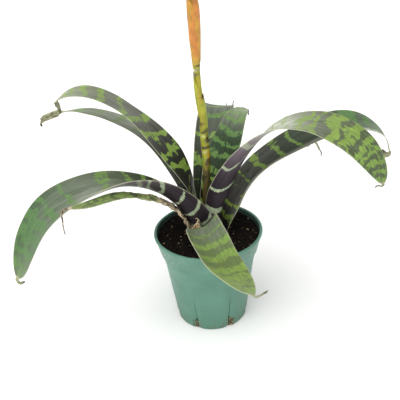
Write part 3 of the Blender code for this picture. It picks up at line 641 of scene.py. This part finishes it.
def slotCutter():
    bm = bmesh.new()
    middle = (pot["slotBottom"] + pot["slotTop"]) / 2
    for i in range(pot["flutes"]):
        turn = Matrix.Rotation(pot["fluteFirst"] + 2 * pi * i / pot["flutes"], 4, "Z")
        size = Matrix.Diagonal((pot["slotReach"], pot["slotWidth"] * pot["pressed"][i],
                                pot["slotTop"] - pot["slotBottom"], 1))
        place = Matrix.Translation((pot["foot"] - pot["slotInset"], 0, middle))
        bmesh.ops.create_cube(bm, size=1, matrix=turn @ place @ size)
    return bm


# Moulded polypropylene, dyed teal green: an even satin skin with faint flow marks, scuffed and
# dusted with dried soil towards the foot. Painted shade darkens it towards the foot, in the
# grooves and inside the wall.
potLook = dict(color="#5b8a77", shade="#4d7866", shadeTop=70.0, pale="#7ba494", dust="#6f6249",
               shadowed="#1c2b26", flowMark=24.0, scuff=3.0, dustTop=26.0)


def potSkin(look):
    made, tree = newMaterial("mouldedPolypropylene", {
        "Roughness": 0.38, "IOR": 1.49, "Specular IOR Level": 0.5, "Subsurface Weight": 0.0})
    place = addNode(tree, "TexCoord", out=3)
    height = addNode(tree, "SeparateXYZ", {"Vector": place}, 2)
    flow = addNode(tree, "TexNoise", {"Vector": place, "Scale": 1000 / look["flowMark"],
                                      "Detail": 2.0})
    speck = addNode(tree, "TexNoise", {"Vector": place, "Scale": 1000 / look["scuff"],
                                       "Detail": 4.0, "Roughness": 0.7})
    tone = addNode(tree, "MapRange", {0: flow, 1: 0.35, 2: 0.65})
    # Painted shade: the flow tone gives way to the darker shade colour towards the foot
    lighterUpward = addNode(tree, "MapRange", {0: height, 2: look["shadeTop"] / 1000})
    tone = addNode(tree, "Math", {0: tone, 1: lighterUpward}, operation="MULTIPLY")
    worn = addNode(tree, "MapRange", {0: speck, 1: 0.6, 2: 0.78, 4: 0.35}, **smooth)
    low = addNode(tree, "MapRange", {0: height, 1: look["dustTop"] / 1000, 2: 0.0, 4: 0.2})
    grime = addNode(tree, "Math", {0: low, 1: speck}, operation="ADD")
    dust = addNode(tree, "MapRange", {0: grime, 1: 0.68, 2: 0.8, 4: 0.8}, **smooth)
    # Painted shade darkens the grooves, the slot mouths and the inside of the wall
    paintedShade = addNode(tree, "Attribute", out=2, attribute_name="potPaintedShade")
    shadowed = addNode(tree, "Math", {0: paintedShade, 1: 0.85}, operation="MULTIPLY")
    skin = srgb(look["shade"])
    for share, layer in ((tone, "color"), (worn, "pale"), (dust, "dust"), (shadowed, "shadowed")):
        skin = addNode(tree, "Mix", {0: share, 6: skin, 7: srgb(look[layer])}, 2, **colors)
    rough = addNode(tree, "MapRange", {0: grime, 1: 0.4, 2: 0.8, 3: 0.34, 4: 0.7})
    relief = addNode(tree, "Bump", {"Height": speck, "Strength": 0.15, "Distance": 0.0002})
    linkSkin(tree, skin, relief, rough)
    return made


potPiece = finishPiece("pot_wall", potMesh(), [potSkin(potLook)], ["pot"])
cutter = meshObject("slotCutter", slotCutter())
slots = potPiece.modifiers.new("drainSlots", "BOOLEAN")
slots.operation = "DIFFERENCE"
slots.solver = "EXACT"
slots.object = cutter
graph = bpy.context.evaluated_depsgraph_get()
cutMesh = bpy.data.meshes.new_from_object(potPiece.evaluated_get(graph))
potPiece.modifiers.clear()
potPiece.data = cutMesh
potPiece.data.set_sharp_from_angle(angle=radians(pot["sharpAngle"]))
bpy.data.objects.remove(cutter, do_unlink=True)
print("pot made")


# Soil mix of peat and bark, filling the pot, its top loose and lumpy. stones are (x, y, size),
# and crust is what washed out of each slot, as (crumbs, from, to).
soil = dict(top=87.2, rise=3.6, gap=0.35, stemHole=10.0, stemFoot=58.0, coarse=9.0,
            coarseHeight=0.9, fine=3.2, fineHeight=0.7, steps=154, rings=30, wallSpare=0.65,
            upperSpare=0.2, rimSpare=0.7, below=4.0, belowSpare=0.6, collar=0.6, ledgeDrop=2.4,
            riseFrom=24, riseOver=22, crumbs=640, crumbFrom=21.5, crumbSmall=0.45,
            crumbSpread=1.3, seed=11,
            stones=((-42, -17, 1.3), (-26, -5, 0.9), (49, 14, 0.9)),
            crust=((14, -1, 2), (12, -1, 2), (12, -1, 2), (12, -1, 2), (14, -1, 2),
                   (110, -5, 1), (200, -0.5, 6)))


def soilMesh():
    collar = stem["shoulderRadius"] + soil["collar"]
    ground = pot["floor"] + soil["gap"]
    profile = [(0, ground), (pot["foot"] * pot["floorRing"], ground)]
    for h in (ground, 6, 9, 12, 15, 18, 22, 27, 32, 36, 42, pot["fluteTop"], pot["neckHeight"],
              pot["bandBottom"]):
        spare = soil["gap"] + soil["wallSpare" if h < pot["neckHeight"] else "upperSpare"]
        profile.append((wallRadius(h) - pot["wall"] - spare, h))
    edge = wallRadius(soil["top"] + soil["rise"]) - pot["wall"] - soil["rimSpare"]
    below = soil["top"] - soil["below"]
    profile += [(wallRadius(below) - pot["wall"] - soil["belowSpare"], below)]
    for i in range(1, soil["rings"] + 1):
        profile.append((edge + (collar - edge) * i / soil["rings"], soil["top"]))
    ledge = stem["shoulderHeight"] - soil["ledgeDrop"]
    holeFloor = soil["stemFoot"] - soil["gap"]
    profile += [(collar, ledge), (soil["stemHole"], ledge),
                (soil["stemHole"], holeFloor), (0, holeFloor)]
    bm = spun(profile, soil["steps"], pot["fluteFirst"])
    pressFlutes(bm)
    for v in bm.verts:
        if v.co.z > soil["top"] - 0.5:
            v.co.z = soilHeight(v.co.x, v.co.y)
    return bm


def soilHeight(x, y):
    radius = (x * x + y * y) ** 0.5
    place = Vector((x, y, 7.0))
    lump = soil["coarseHeight"] * noise.noise(place / soil["coarse"])
    lump += soil["fineHeight"] * noise.noise(place / soil["fine"])
    rise = soil["rise"] * ease((radius - soil["riseFrom"]) / soil["riseOver"])
    return soil["top"] + rise + lump * ease((radius - stem["shoulderRadius"] - 1) / 5)


# Peat and composted bark: nearly black, damp and matt, with paler fibres and dry bits in it
soilLook = dict(peat="#0c0a08", damp="#130e0b", dry="#46362a", lump=4.0, grit=0.8)


def soilSkin(look):
    made, tree = newMaterial("dampPeatMix", {"Roughness": 0.92, "Specular IOR Level": 0.08})
    place = addNode(tree, "TexCoord", out=3)
    lumps = addNode(tree, "TexNoise", {"Vector": place, "Scale": 1000 / look["lump"],
                                       "Detail": 5.0, "Roughness": 0.65})
    grit = addNode(tree, "TexVoronoi", {"Vector": place, "Scale": 1000 / look["grit"] / 2})
    tone = addNode(tree, "MapRange", {0: lumps, 1: 0.38, 2: 0.62})
    bits = addNode(tree, "MapRange", {0: grit, 1: 0.28, 2: 0.12, 4: 0.6})
    pale = addNode(tree, "Math", {0: bits, 1: tone}, operation="MULTIPLY")
    skin = srgb(look["peat"])
    for share, layer in ((tone, "damp"), (pale, "dry")):
        skin = addNode(tree, "Mix", {0: share, 6: skin, 7: srgb(look[layer])}, 2, **colors)
    rough = addNode(tree, "Math", {0: lumps, 1: grit}, operation="ADD")
    relief = addNode(tree, "Bump", {"Height": rough, "Strength": 0.9, "Distance": 0.0008})
    linkSkin(tree, skin, relief)
    return made


finishPiece("soil_fill", soilMesh(), [soilSkin(soilLook)], ["potting_soil"])

# Bark chips and peat crumbs: dry broken faces, tan to reddish brown among dark ones
crumbLook = dict(dark="#0e0b09", brown="#231912", red="#5e4a34", tan="#9a8a66", grain=0.7)


def crumbSkin(look):
    made, tree = newMaterial("brokenBark", {"Roughness": 0.88, "Specular IOR Level": 0.15})
    kind = addNode(tree, "Attribute", out=2, attribute_name="crumbTone")
    place = addNode(tree, "TexCoord", out=3)
    grain = addNode(tree, "TexNoise", {"Vector": place, "Scale": 1000 / look["grain"],
                                       "Detail": 3.0})
    share = addNode(tree, "Math", {0: grain, 1: 0.3, 2: kind}, operation="MULTIPLY_ADD")
    skin = srgb(look["dark"])
    for low, high, layer in ((0.15, 0.6, "brown"), (0.75, 0.9, "red"), (0.95, 1.08, "tan")):
        part = addNode(tree, "MapRange", {0: share, 1: low, 2: high})
        skin = addNode(tree, "Mix", {0: part, 6: skin, 7: srgb(look[layer])}, 2, **colors)
    relief = addNode(tree, "Bump", {"Height": grain, "Strength": 0.7, "Distance": 0.0004})
    linkSkin(tree, skin, relief)
    return made


def addCrumb(bm, layer, tone, place, size, turn):
    made = bmesh.ops.create_icosphere(bm, subdivisions=1, radius=1)["verts"]
    shape = Matrix.LocRotScale(place, turn.to_quaternion(), size)
    for v in made:
        v.co = shape @ (v.co * (0.8 + 0.4 * noise.noise(v.co * 3 + Vector(place) * 5)))
        v[layer] = tone


def crumbMesh():
    dice = random.Random(soil["seed"])
    bm = bmesh.new()
    layer = bm.verts.layers.float.new("crumbTone")
    edge = wallRadius(soil["top"]) - pot["wall"] - 1.5
    for i in range(soil["crumbs"]):
        angle = dice.uniform(0, 2 * pi)
        radius = dice.uniform(soil["crumbFrom"] ** 2, edge ** 2) ** 0.5
        x, y = radius * cos(angle), radius * sin(angle)
        size = soil["crumbSmall"] + soil["crumbSpread"] * dice.random() ** 3
        tone = dice.random() ** 2.6
        flat = dice.uniform(0.35, 0.9)
        turn = Matrix.Rotation(dice.uniform(0, pi), 3, "Z") @ \
            Matrix.Rotation(dice.uniform(-0.5, 0.5), 3, "X")
        spot = (x, y, soilHeight(x, y) + size * flat * 0.25)
        sizes = (size * dice.uniform(0.8, 1.7), size * dice.uniform(0.6, 1.0), size * flat)
        addCrumb(bm, layer, tone, spot, sizes, turn)
    for x, y, size in soil["stones"]:
        addCrumb(bm, layer, 1.0, (x, y, soilHeight(x, y) + size * 0.4),
                 (size, size * 0.8, size * 0.7), Matrix.Rotation(0.5, 3, "Z"))
    # Soil that washed out of the drain slots and dried there
    for i in range(pot["flutes"]):
        angle = pot["fluteFirst"] + 2 * pi * i / pot["flutes"]
        crusts, low, high = soil["crust"][i]
        for j in range(crusts):
            h = 0.6 + (pot["slotTop"] - 3) * dice.random() ** 1.5
            side = dice.triangular(low, high, 0.5)
            turned = angle + side / pot["foot"]
            radius = wallRadius(h) - fluteOffset(turned, h) + dice.uniform(-0.35, 0.12)
            size = dice.uniform(0.35, 0.85)
            spot = (radius * cos(angle) - side * sin(angle),
                    radius * sin(angle) + side * cos(angle), h)
            turn = Matrix.Rotation(dice.uniform(0, pi), 3, "Z")
            tone = 0.3 + 0.75 * dice.random() ** 0.6
            addCrumb(bm, layer, tone, spot, (size, size * 0.8, size * 0.8), turn)
    bmesh.ops.recalc_face_normals(bm, faces=bm.faces)
    return bm


finishPiece("bark_crumbs", crumbMesh(), [crumbSkin(crumbLook)], [])
print("soil made")


# Offset of old leaf bases: woody, fibrous, dark and dry
stemLook = dict(dark="#2a2018", pale="#6b573d", fibre=0.5, fibreLength=7.0)
made, tree = newMaterial("fibrousCrown", {"Roughness": 0.9, "Specular IOR Level": 0.3})
across = 1000 / stemLook["fibre"] / 2
place = addNode(tree, "TexCoord", out=3)
place = addNode(tree, "Mapping", {"Vector": place, "Scale": (across, across,
                                                             1000 / stemLook["fibreLength"])})
fibres = addNode(tree, "TexNoise", {"Vector": place, "Scale": 1.0, "Detail": 3.0})
tone = addNode(tree, "MapRange", {0: fibres, 1: 0.35, 2: 0.7})
skin = addNode(tree, "Mix", {0: tone, 6: srgb(stemLook["dark"]), 7: srgb(stemLook["pale"])}, 2,
               **colors)
relief = addNode(tree, "Bump", {"Height": fibres, "Strength": 0.8, "Distance": 0.0005})
linkSkin(tree, skin, relief)
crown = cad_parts["rosette_stem"]
crown.data.materials.clear()
crown.data.materials.append(made)
print("stem finished")


# Dried foot of an old leaf, curled like a wood shaving. Its values began as a fit, too.
husk = dict(plainStrip, azimuth=-132, radius=19.7, length=16, width=15, neck=0.85, roll=[1],
            lean=[4, 20, 42, 50], channel=[0.07, 0.1], taper=0.6, blunt=0.6, wisp=7, wispWidth=3,
            wispLean=[0, -50, -90], wispSway=[0, -30], rows=40)
# Curled shreds of it stand in front of the arching leaf's foot, above the front leaf's margin
shreds = (dict(foot=(-9.5, -19.5, 101), azimuth=62, radius=4.2, length=13, width=13, neck=0.9,
               lean=[0, -4, 4, 20], roll=[0, 10], channel=[0.24, 0.16], taper=0.75, blunt=0.9,
               wisp=4, wispLean=[0, 60]),
          dict(foot=(-14.5, -18.5, 106), azimuth=-62, radius=5, length=14, width=2.6, neck=1,
               lean=[112, 96, 80, 60], roll=[0, 40], channel=[0.1, 0.2], taper=0.3, blunt=0.8,
               wisp=4, wispLean=[0, -50]),
          dict(foot=(-12.5, -19.5, 104), azimuth=-30, radius=2.5, length=11, width=4.5, neck=0.8,
               lean=[20, 35, 80, 170], roll=[20, 60], channel=[0.3, 0.3], taper=0.5, blunt=0.7,
               wisp=3, wispLean=[0, 60]),
          dict(foot=(-9, -19.5, 110), azimuth=150, radius=2.5, length=9, width=2.4, neck=0.7,
               lean=[-30, -25, 10, 60], roll=[-20, 70], channel=[0.35, 0.3], taper=0.6,
               blunt=0.8, wisp=3, wispLean=[0, 80]))
huskLook = dict(tan="#a27f4e", pale="#d9cba8", dark="#4f3820", fibre=0.6, fibreLength=5.0)


def huskSkin(look):
    # Dead dry leaf: papery and matt, pale tan with darker fibres
    made, tree = newMaterial("dryPaperyLeaf", {"Roughness": 0.8, "Specular IOR Level": 0.3})
    uv = addNode(tree, "UVMap", uv_map="leafPlace")
    span = leafMesh["uvSpan"]
    place = addNode(tree, "Mapping", {
        "Vector": uv, "Scale": (span / look["fibre"], span / look["fibreLength"], 1)})
    fibres = addNode(tree, "TexNoise", {"Vector": place, "Scale": 1.0, "Detail": 3.0})
    low = addNode(tree, "MapRange", {0: fibres, 1: 0.25, 2: 0.5})
    high = addNode(tree, "MapRange", {0: fibres, 1: 0.5, 2: 0.7})
    # Bleached along its rim; painted shade darkens it towards its foot and lightens the rest a little
    edge = addNode(tree, "Attribute", out=2, attribute_name="leafEdge")
    rim = addNode(tree, "MapRange", {0: edge, 1: 1.1, 2: 0.3, 4: 0.8})
    skin = srgb(look["dark"])
    for share, layer in ((low, "tan"), (high, "pale"), (rim, "pale")):
        skin = addNode(tree, "Mix", {0: share, 6: skin, 7: srgb(look[layer])}, 2, **colors)
    foot = addNode(tree, "Attribute", out=2, attribute_name="leafFootShade")
    shade = addNode(tree, "MapRange", {0: foot, 1: 0.6, 2: 1.0, 3: 1.1, 4: 0.3})
    skin = addNode(tree, "VectorMath", {0: skin, "Scale": shade}, operation="SCALE")
    relief = addNode(tree, "Bump", {"Height": fibres, "Strength": 0.6, "Distance": 0.0003})
    linkSkin(tree, skin, relief)
    return made


huskMaterial = huskSkin(huskLook)
piece = finishPiece("husk_curl", leafBlade(husk, 12, husk["rows"]), [huskMaterial],
                    ["dried_leaf_husk"])
shell(piece, leafMesh["thickness"])
for index, shred in enumerate(shreds):
    strip = leafBlade(dict(plainStrip, wispWidth=1, **shred), 14 + index, husk["rows"])
    piece = finishPiece("husk_shred_%d" % index, strip, [huskMaterial], [])
    shell(piece, leafMesh["thinShell"])
print("husk made")


# Flower stalk, gently bent, wrapped by pointed sleeve bracts, with the flat sword on its top.
# bracts are (foot, azimuth, length, bulge), and nodes (height, half width, darkness, azimuth).
# The bend began as a fit to the photo's outline.
stalk = dict(foot=103.35, top=306.0, footRadius=2.5, topRadius=3.6,
             bend=[0, 0.4, 2.0, 1.0, -1.3, -1.9, -2.1], rows=150, sides=28,
             flareFrom=54, flareOver=50, bractThick=0.6, bractStand=0.25, bractWrap=radians(115),
             bractPoint=radians(12),
             bracts=((112, 200, 27, 0.5), (131, 340, 27, 0.5), (152, 340, 40, 0.9),
                     (170, 205, 34, 0.9), (193, 345, 36, 1.0), (208, 190, 40, 1.1),
                     (250, 195, 30, 0.9), (256, 305, 54, 1.4), (272, 215, 38, 1.1)),
             nodes=((253, 1.7, 0.9, -60), (249.6, 1.6, -1.1, -90), (246, 1.8, 0.7, -110),
                    (226, 2.2, 0.8, -20), (203, 2.4, 1.3, 200), (197.5, 1.0, 0.8, -40),
                    (195, 1.5, 1.1, -90), (191.5, 1.4, -0.8, -110), (187, 3.2, 1.3, -10),
                    (180.5, 1.6, 1.4, -90), (176.5, 1.6, -0.8, -80),
                    (167, 4.0, 1.2, 0), (154, 11, 1.0, -90), (138, 10, 1.2, -90),
                    (118, 12, 1.6, -90)))


def stalkCentre(z):
    share = (z - stem["top"]) / (stalk["top"] - stem["top"])
    return Vector((along(stalk["bend"], share), 0, z))


def stalkRadius(z):
    share = ease((z - stalk["top"] + stalk["flareFrom"]) / stalk["flareOver"])
    return stalk["footRadius"] + (stalk["topRadius"] - stalk["footRadius"]) * share


def stalkMark(z, angle):
    # Dark scars (above 0) and pale rings (below 0) where sleeve bracts have dried off, each
    # strongest on one side
    mark = 0.0
    for place, wide, tone, azimuth in stalk["nodes"]:
        side = 0.5 + 0.5 * cos(angle - radians(azimuth))
        mark += tone * side * exp(-((z - place + 0.4 * sin(angle * 2)) / wide) ** 2)
    return mark


def stalkMesh():
    bm = bmesh.new()
    mark = bm.verts.layers.float.new("stalkMark")
    bmesh.ops.create_cone(bm, cap_ends=True, segments=stalk["sides"], radius1=1, radius2=1,
                          depth=1)
    bmesh.ops.translate(bm, vec=(0, 0, 0.5), verts=bm.verts)
    for i in range(1, stalk["rows"]):
        whole = bm.verts[:] + bm.edges[:] + bm.faces[:]
        bmesh.ops.bisect_plane(bm, geom=whole, plane_co=(0, 0, i / stalk["rows"]),
                               plane_no=(0, 0, 1))
    for v in bm.verts:
        z = stalk["foot"] + (stalk["top"] - stalk["foot"]) * v.co.z
        centre = stalkCentre(z)
        ridge = 1 + 0.02 * sin(7 * atan2(v.co.y, v.co.x))
        radius = stalkRadius(z) * ridge
        v[mark] = stalkMark(z, atan2(v.co.y, v.co.x))
        v.co = Vector((centre.x + v.co.x * radius, centre.y + v.co.y * radius, z))
    return bm


def bractMesh():
    bm = bmesh.new()
    tipLayer = bm.verts.layers.float.new("bractPlace")
    mark = bm.verts.layers.float.new("stalkMark")
    for footZ, azimuth, length, bulge in stalk["bracts"]:
        old = set(bm.verts)
        bmesh.ops.create_grid(bm, x_segments=28, y_segments=40, size=1)
        for v in bm.verts:
            if v in old:
                continue
            t = (v.co.y + 1) / 2
            z = footZ + length * t
            centre = stalkCentre(z)
            swell = bulge * sin(pi * (t * 0.86 + 0.08)) ** 0.8
            radius = stalkRadius(z) + stalk["bractStand"] + swell
            wrap = (1 - ease((t - 0.2) / 0.8)) ** 0.7
            half = stalk["bractWrap"] * wrap + stalk["bractPoint"]
            angle = radians(azimuth) + v.co.x * half
            v[mark] = stalkMark(z, angle) * 0.8
            v[tipLayer] = t
            v.co = Vector((centre.x + cos(angle) * radius, centre.y + sin(angle) * radius, z))
    bmesh.ops.recalc_face_normals(bm, faces=bm.faces)
    return bm


# Living flower stalk: waxy and smooth, yellow green below and orange above, finely ridged
stalkLook = dict(low="#7e8a20", middle="#929426", gold="#ab8424", high="#b4722e", dark="#3a3020",
                 ring="#a9a283", turn=253.0, ridge=0.7, blotch=6.0)


def stalkSkin(name, look, lighter, driedPoint=False):
    made, tree = newMaterial(name, {"Roughness": 0.42, "Specular IOR Level": 0.5})
    place = addNode(tree, "TexCoord", out=3)
    height = addNode(tree, "SeparateXYZ", {"Vector": place}, 2)
    mottle = addNode(tree, "TexNoise", {"Vector": place, "Scale": 1000 / look["blotch"],
                                        "Detail": 4.0})
    ridge = 1000 / look["ridge"]
    drawn = [addNode(tree, "Mapping", {"Vector": place, "Scale": scale})
             for scale in ((ridge, ridge, 60), (260, 260, 45))]
    ridges, patch = (addNode(tree, "TexNoise", {"Vector": stretched, "Scale": 1.0, "Detail": 2.0})
                     for stretched in drawn)
    turn = look["turn"] / 1000
    lower = addNode(tree, "MapRange", {0: height, 1: 0.11, 2: turn - 0.01})
    upper = addNode(tree, "MapRange", {0: height, 1: turn - 0.004, 2: turn + 0.012}, **smooth)
    gilded = addNode(tree, "MapRange", {0: patch, 1: 0.45, 2: 0.62, 4: 0.75})
    # Scars and rings, broken up by the mottling
    mark = addNode(tree, "Attribute", out=2, attribute_name="stalkMark")
    mark = addNode(tree, "Math", {0: mark, 1: mottle}, operation="MULTIPLY")
    scar = addNode(tree, "MapRange", {0: mark, 1: 0.14, 2: 0.34, 4: 0.9})
    ring = addNode(tree, "MapRange", {0: mark, 1: -0.15, 2: -0.4, 4: 0.9})
    skin = srgb(look["low"])
    for share, layer in ((lower, "middle"), (upper, "high"), (gilded, "gold"), (scar, "dark"),
                         (ring, "ring")):
        skin = addNode(tree, "Mix", {0: share, 6: skin, 7: srgb(look[layer])}, 2, **colors)
    shade = addNode(tree, "MapRange", {0: mottle, 1: 0.35, 2: 0.7, 3: 0.8 * lighter,
                                       4: 1.2 * lighter})
    skin = addNode(tree, "VectorMath", {0: skin, "Scale": shade}, operation="SCALE")
    browned = [addNode(tree, "MapRange", {0: ridges, 1: 0.62, 2: 0.75, 4: 0.6})]
    if driedPoint:
        tip = addNode(tree, "Attribute", out=2, attribute_name="bractPlace")
        browned.append(addNode(tree, "MapRange", {0: tip, 1: 0.78, 2: 0.95, 4: 0.5}))
    for share in browned:
        skin = addNode(tree, "Mix", {0: share, 6: skin, 7: srgb(look["dark"])}, 2, **colors)
    relief = addNode(tree, "Bump", {"Height": ridges, "Strength": 0.5, "Distance": 0.0003})
    linkSkin(tree, skin, relief)
    return made


finishPiece("stalk_shaft", stalkMesh(), [stalkSkin("waxyFlowerStalk", stalkLook, 1.0)],
            ["flower_stalk"])
# The sleeve bracts are the same tissue, a little paler, and dried brown at the point
piece = finishPiece("stalk_bracts", bractMesh(),
                    [stalkSkin("sleeveBract", stalkLook, 1.15, driedPoint=True)], [])
shell(piece, stalk["bractThick"])
print("stalk made")

# The sword's bracts stand in two rows on one axis; each is swollen in its middle
sword = dict(length=150.0, turn=radians(20), bracts=18, bractLength=38.0, bractWidth=16.0,
             bractThick=6.5, bractReach=12.0, columns=12, rows=36, axisShort=20, lastBract=33,
             axisFoot=0.4, axisTop=1.5)


def swordMesh():
    bm = bmesh.new()
    tone = bm.verts.layers.float.new("bractPlace")
    edgeLayer = bm.verts.layers.float.new("bractEdge")
    axisLength = sword["length"] - sword["axisShort"]
    bmesh.ops.create_cone(bm, cap_ends=True, segments=20, depth=axisLength,
                          radius1=stalk["topRadius"] + sword["axisFoot"], radius2=sword["axisTop"],
                          matrix=Matrix.Translation((0, 0, axisLength / 2)))
    for i in range(sword["bracts"]):
        share = i / (sword["bracts"] - 1)
        side = 1 if i % 2 == 0 else -1
        size = 1.0 - 0.3 * share - 0.2 * exp(-share * 14)
        height = sword["axisTop"] + (sword["length"] - sword["lastBract"]) * share
        reach = sword["bractReach"] * size * (1 - share ** 4)
        old = set(bm.verts)
        bmesh.ops.create_grid(bm, x_segments=sword["columns"], y_segments=sword["rows"], size=1)
        for v in bm.verts:
            if v in old:
                continue
            t = (v.co.y + 1) / 2
            swell = sin(pi * min(t * 0.9 + 0.1, 1))
            half = max(sword["bractWidth"] / 2 * size * swell ** 0.6 * (1 - 0.35 * t), 0.3)
            outward = 2.0 * min(reach / 4, 1) + reach * t ** 0.8
            up = height + sword["bractLength"] * size * t
            edge = v.co.x * half
            dome = (1 - abs(v.co.x)) ** 0.8
            thick = 0.25 + sword["bractThick"] / 2 * size * dome * swell ** 0.7
            v[tone] = t
            v[edgeLayer] = abs(v.co.x)
            v.co = Vector((side * (outward + edge * 0.9), thick, up - edge * 0.4))
        fresh = [f for f in bm.faces if not old.intersection(f.verts)]
        twin = bmesh.ops.duplicate(bm, geom=fresh)["geom"]
        for part in twin:
            if isinstance(part, bmesh.types.BMVert):
                part.co.y *= -1
        bmesh.ops.bridge_loops(bm, edges=[e for e in bm.edges if e.is_boundary])
    bmesh.ops.recalc_face_normals(bm, faces=bm.faces)
    place = stalkCentre(stalk["top"]) + Vector((0, 0, soil["gap"]))
    bmesh.ops.transform(bm, verts=bm.verts, matrix=Matrix.Translation(place) @
                        Matrix.Rotation(sword["turn"], 4, "Z"))
    return bm


# Living flower bract: glossy and smooth, flame red, orange where it leaves the axis
swordLook = dict(red="#c22a17", orange="#e0672a", yellow="#d9a23c", dark="#7d2014",
                 vein=0.8, blotch=8.0)


def swordSkin(look):
    made, tree = newMaterial("waxyFlowerBract", {"Roughness": 0.33, "Specular IOR Level": 0.55,
                                                 "Coat Weight": 0.15, "Coat Roughness": 0.25})
    place = addNode(tree, "TexCoord", out=3)
    up, edge = (addNode(tree, "Attribute", out=2, attribute_name=key)
                for key in ("bractPlace", "bractEdge"))
    mottle = addNode(tree, "TexNoise", {"Vector": place, "Scale": 1000 / look["blotch"],
                                        "Detail": 3.0})
    vein = 1000 / look["vein"]
    drawn = addNode(tree, "Mapping", {"Vector": place, "Scale": (vein, vein, 90)})
    veins = addNode(tree, "TexNoise", {"Vector": drawn, "Scale": 1.0, "Detail": 2.0})
    low = addNode(tree, "MapRange", {0: up, 2: 0.45})
    rim = addNode(tree, "MapRange", {0: edge, 1: 0.8, 2: 1.0, 4: 0.45})
    point = addNode(tree, "MapRange", {0: up, 1: 0.88, 2: 1.0, 4: 0.7})
    skin = srgb(look["orange"])
    for share, layer in ((low, "red"), (rim, "yellow"), (point, "dark")):
        skin = addNode(tree, "Mix", {0: share, 6: skin, 7: srgb(look[layer])}, 2, **colors)
    shade = addNode(tree, "MapRange", {0: mottle, 1: 0.3, 2: 0.7, 3: 0.82, 4: 1.12})
    skin = addNode(tree, "VectorMath", {0: skin, "Scale": shade}, operation="SCALE")
    relief = addNode(tree, "Bump", {"Height": veins, "Strength": 0.4, "Distance": 0.0003})
    linkSkin(tree, skin, relief)
    return made


finishPiece("sword_bracts", swordMesh(), [swordSkin(swordLook)], ["flower_spike"])
print("sword made")

# Plain pale floor and soft light: one broad overhead lamp from the left front, white walls low
# down and a dimmer ceiling, so that the leaves keep their depth
studio = dict(floorColor="#f6f6f5", floorSize=24.0, lampStrength=3.3, lampAngle=90.0,
              lampFrom=(-0.35, -0.5, 1.2), wall=1.2, ceiling=0.5, wallTop=0.12, wallFade=0.25,
              floorDrop=0.0003)
floorMesh = bmesh.new()
bmesh.ops.create_circle(floorMesh, cap_ends=True, segments=64, radius=studio["floorSize"] / 2,
                        matrix=Matrix.Translation((0, 0, -studio["floorDrop"])))
floor = meshObject("studioFloor", floorMesh, 1)
# Matt backdrop paper: even, nearly white and without gloss
floor.data.materials.append(newMaterial("mattPaper", {
    "Base Color": srgb(studio["floorColor"]), "Roughness": 0.95, "Specular IOR Level": 0.1})[0])

lamp = bpy.data.lights.new("overheadSoftLamp", "SUN")
lamp.energy = studio["lampStrength"]
lamp.angle = radians(studio["lampAngle"])
lampPiece = bpy.data.objects.new("overheadSoftLamp", lamp)
lampPiece.rotation_euler = Vector(studio["lampFrom"]).to_track_quat("Z", "Y").to_euler()
bpy.context.scene.collection.objects.link(lampPiece)

world = bpy.data.worlds.new("whiteRoom")
bpy.context.scene.world = world
world.use_nodes = True
tree = world.node_tree
rise = addNode(tree, "SeparateXYZ", {"Vector": addNode(tree, "TexCoord")}, 2)
level = addNode(tree, "MapRange", {0: rise, 1: studio["wallTop"], 3: studio["wall"],
                                   2: studio["wallTop"] + studio["wallFade"],
                                   4: studio["ceiling"]}, **smooth)
tree.links.new(level, tree.nodes["Background"].inputs["Strength"])
tree.nodes["Background"].inputs["Color"].default_value = (1, 1, 1, 1)
bpy.context.scene.view_settings.view_transform = "Standard"
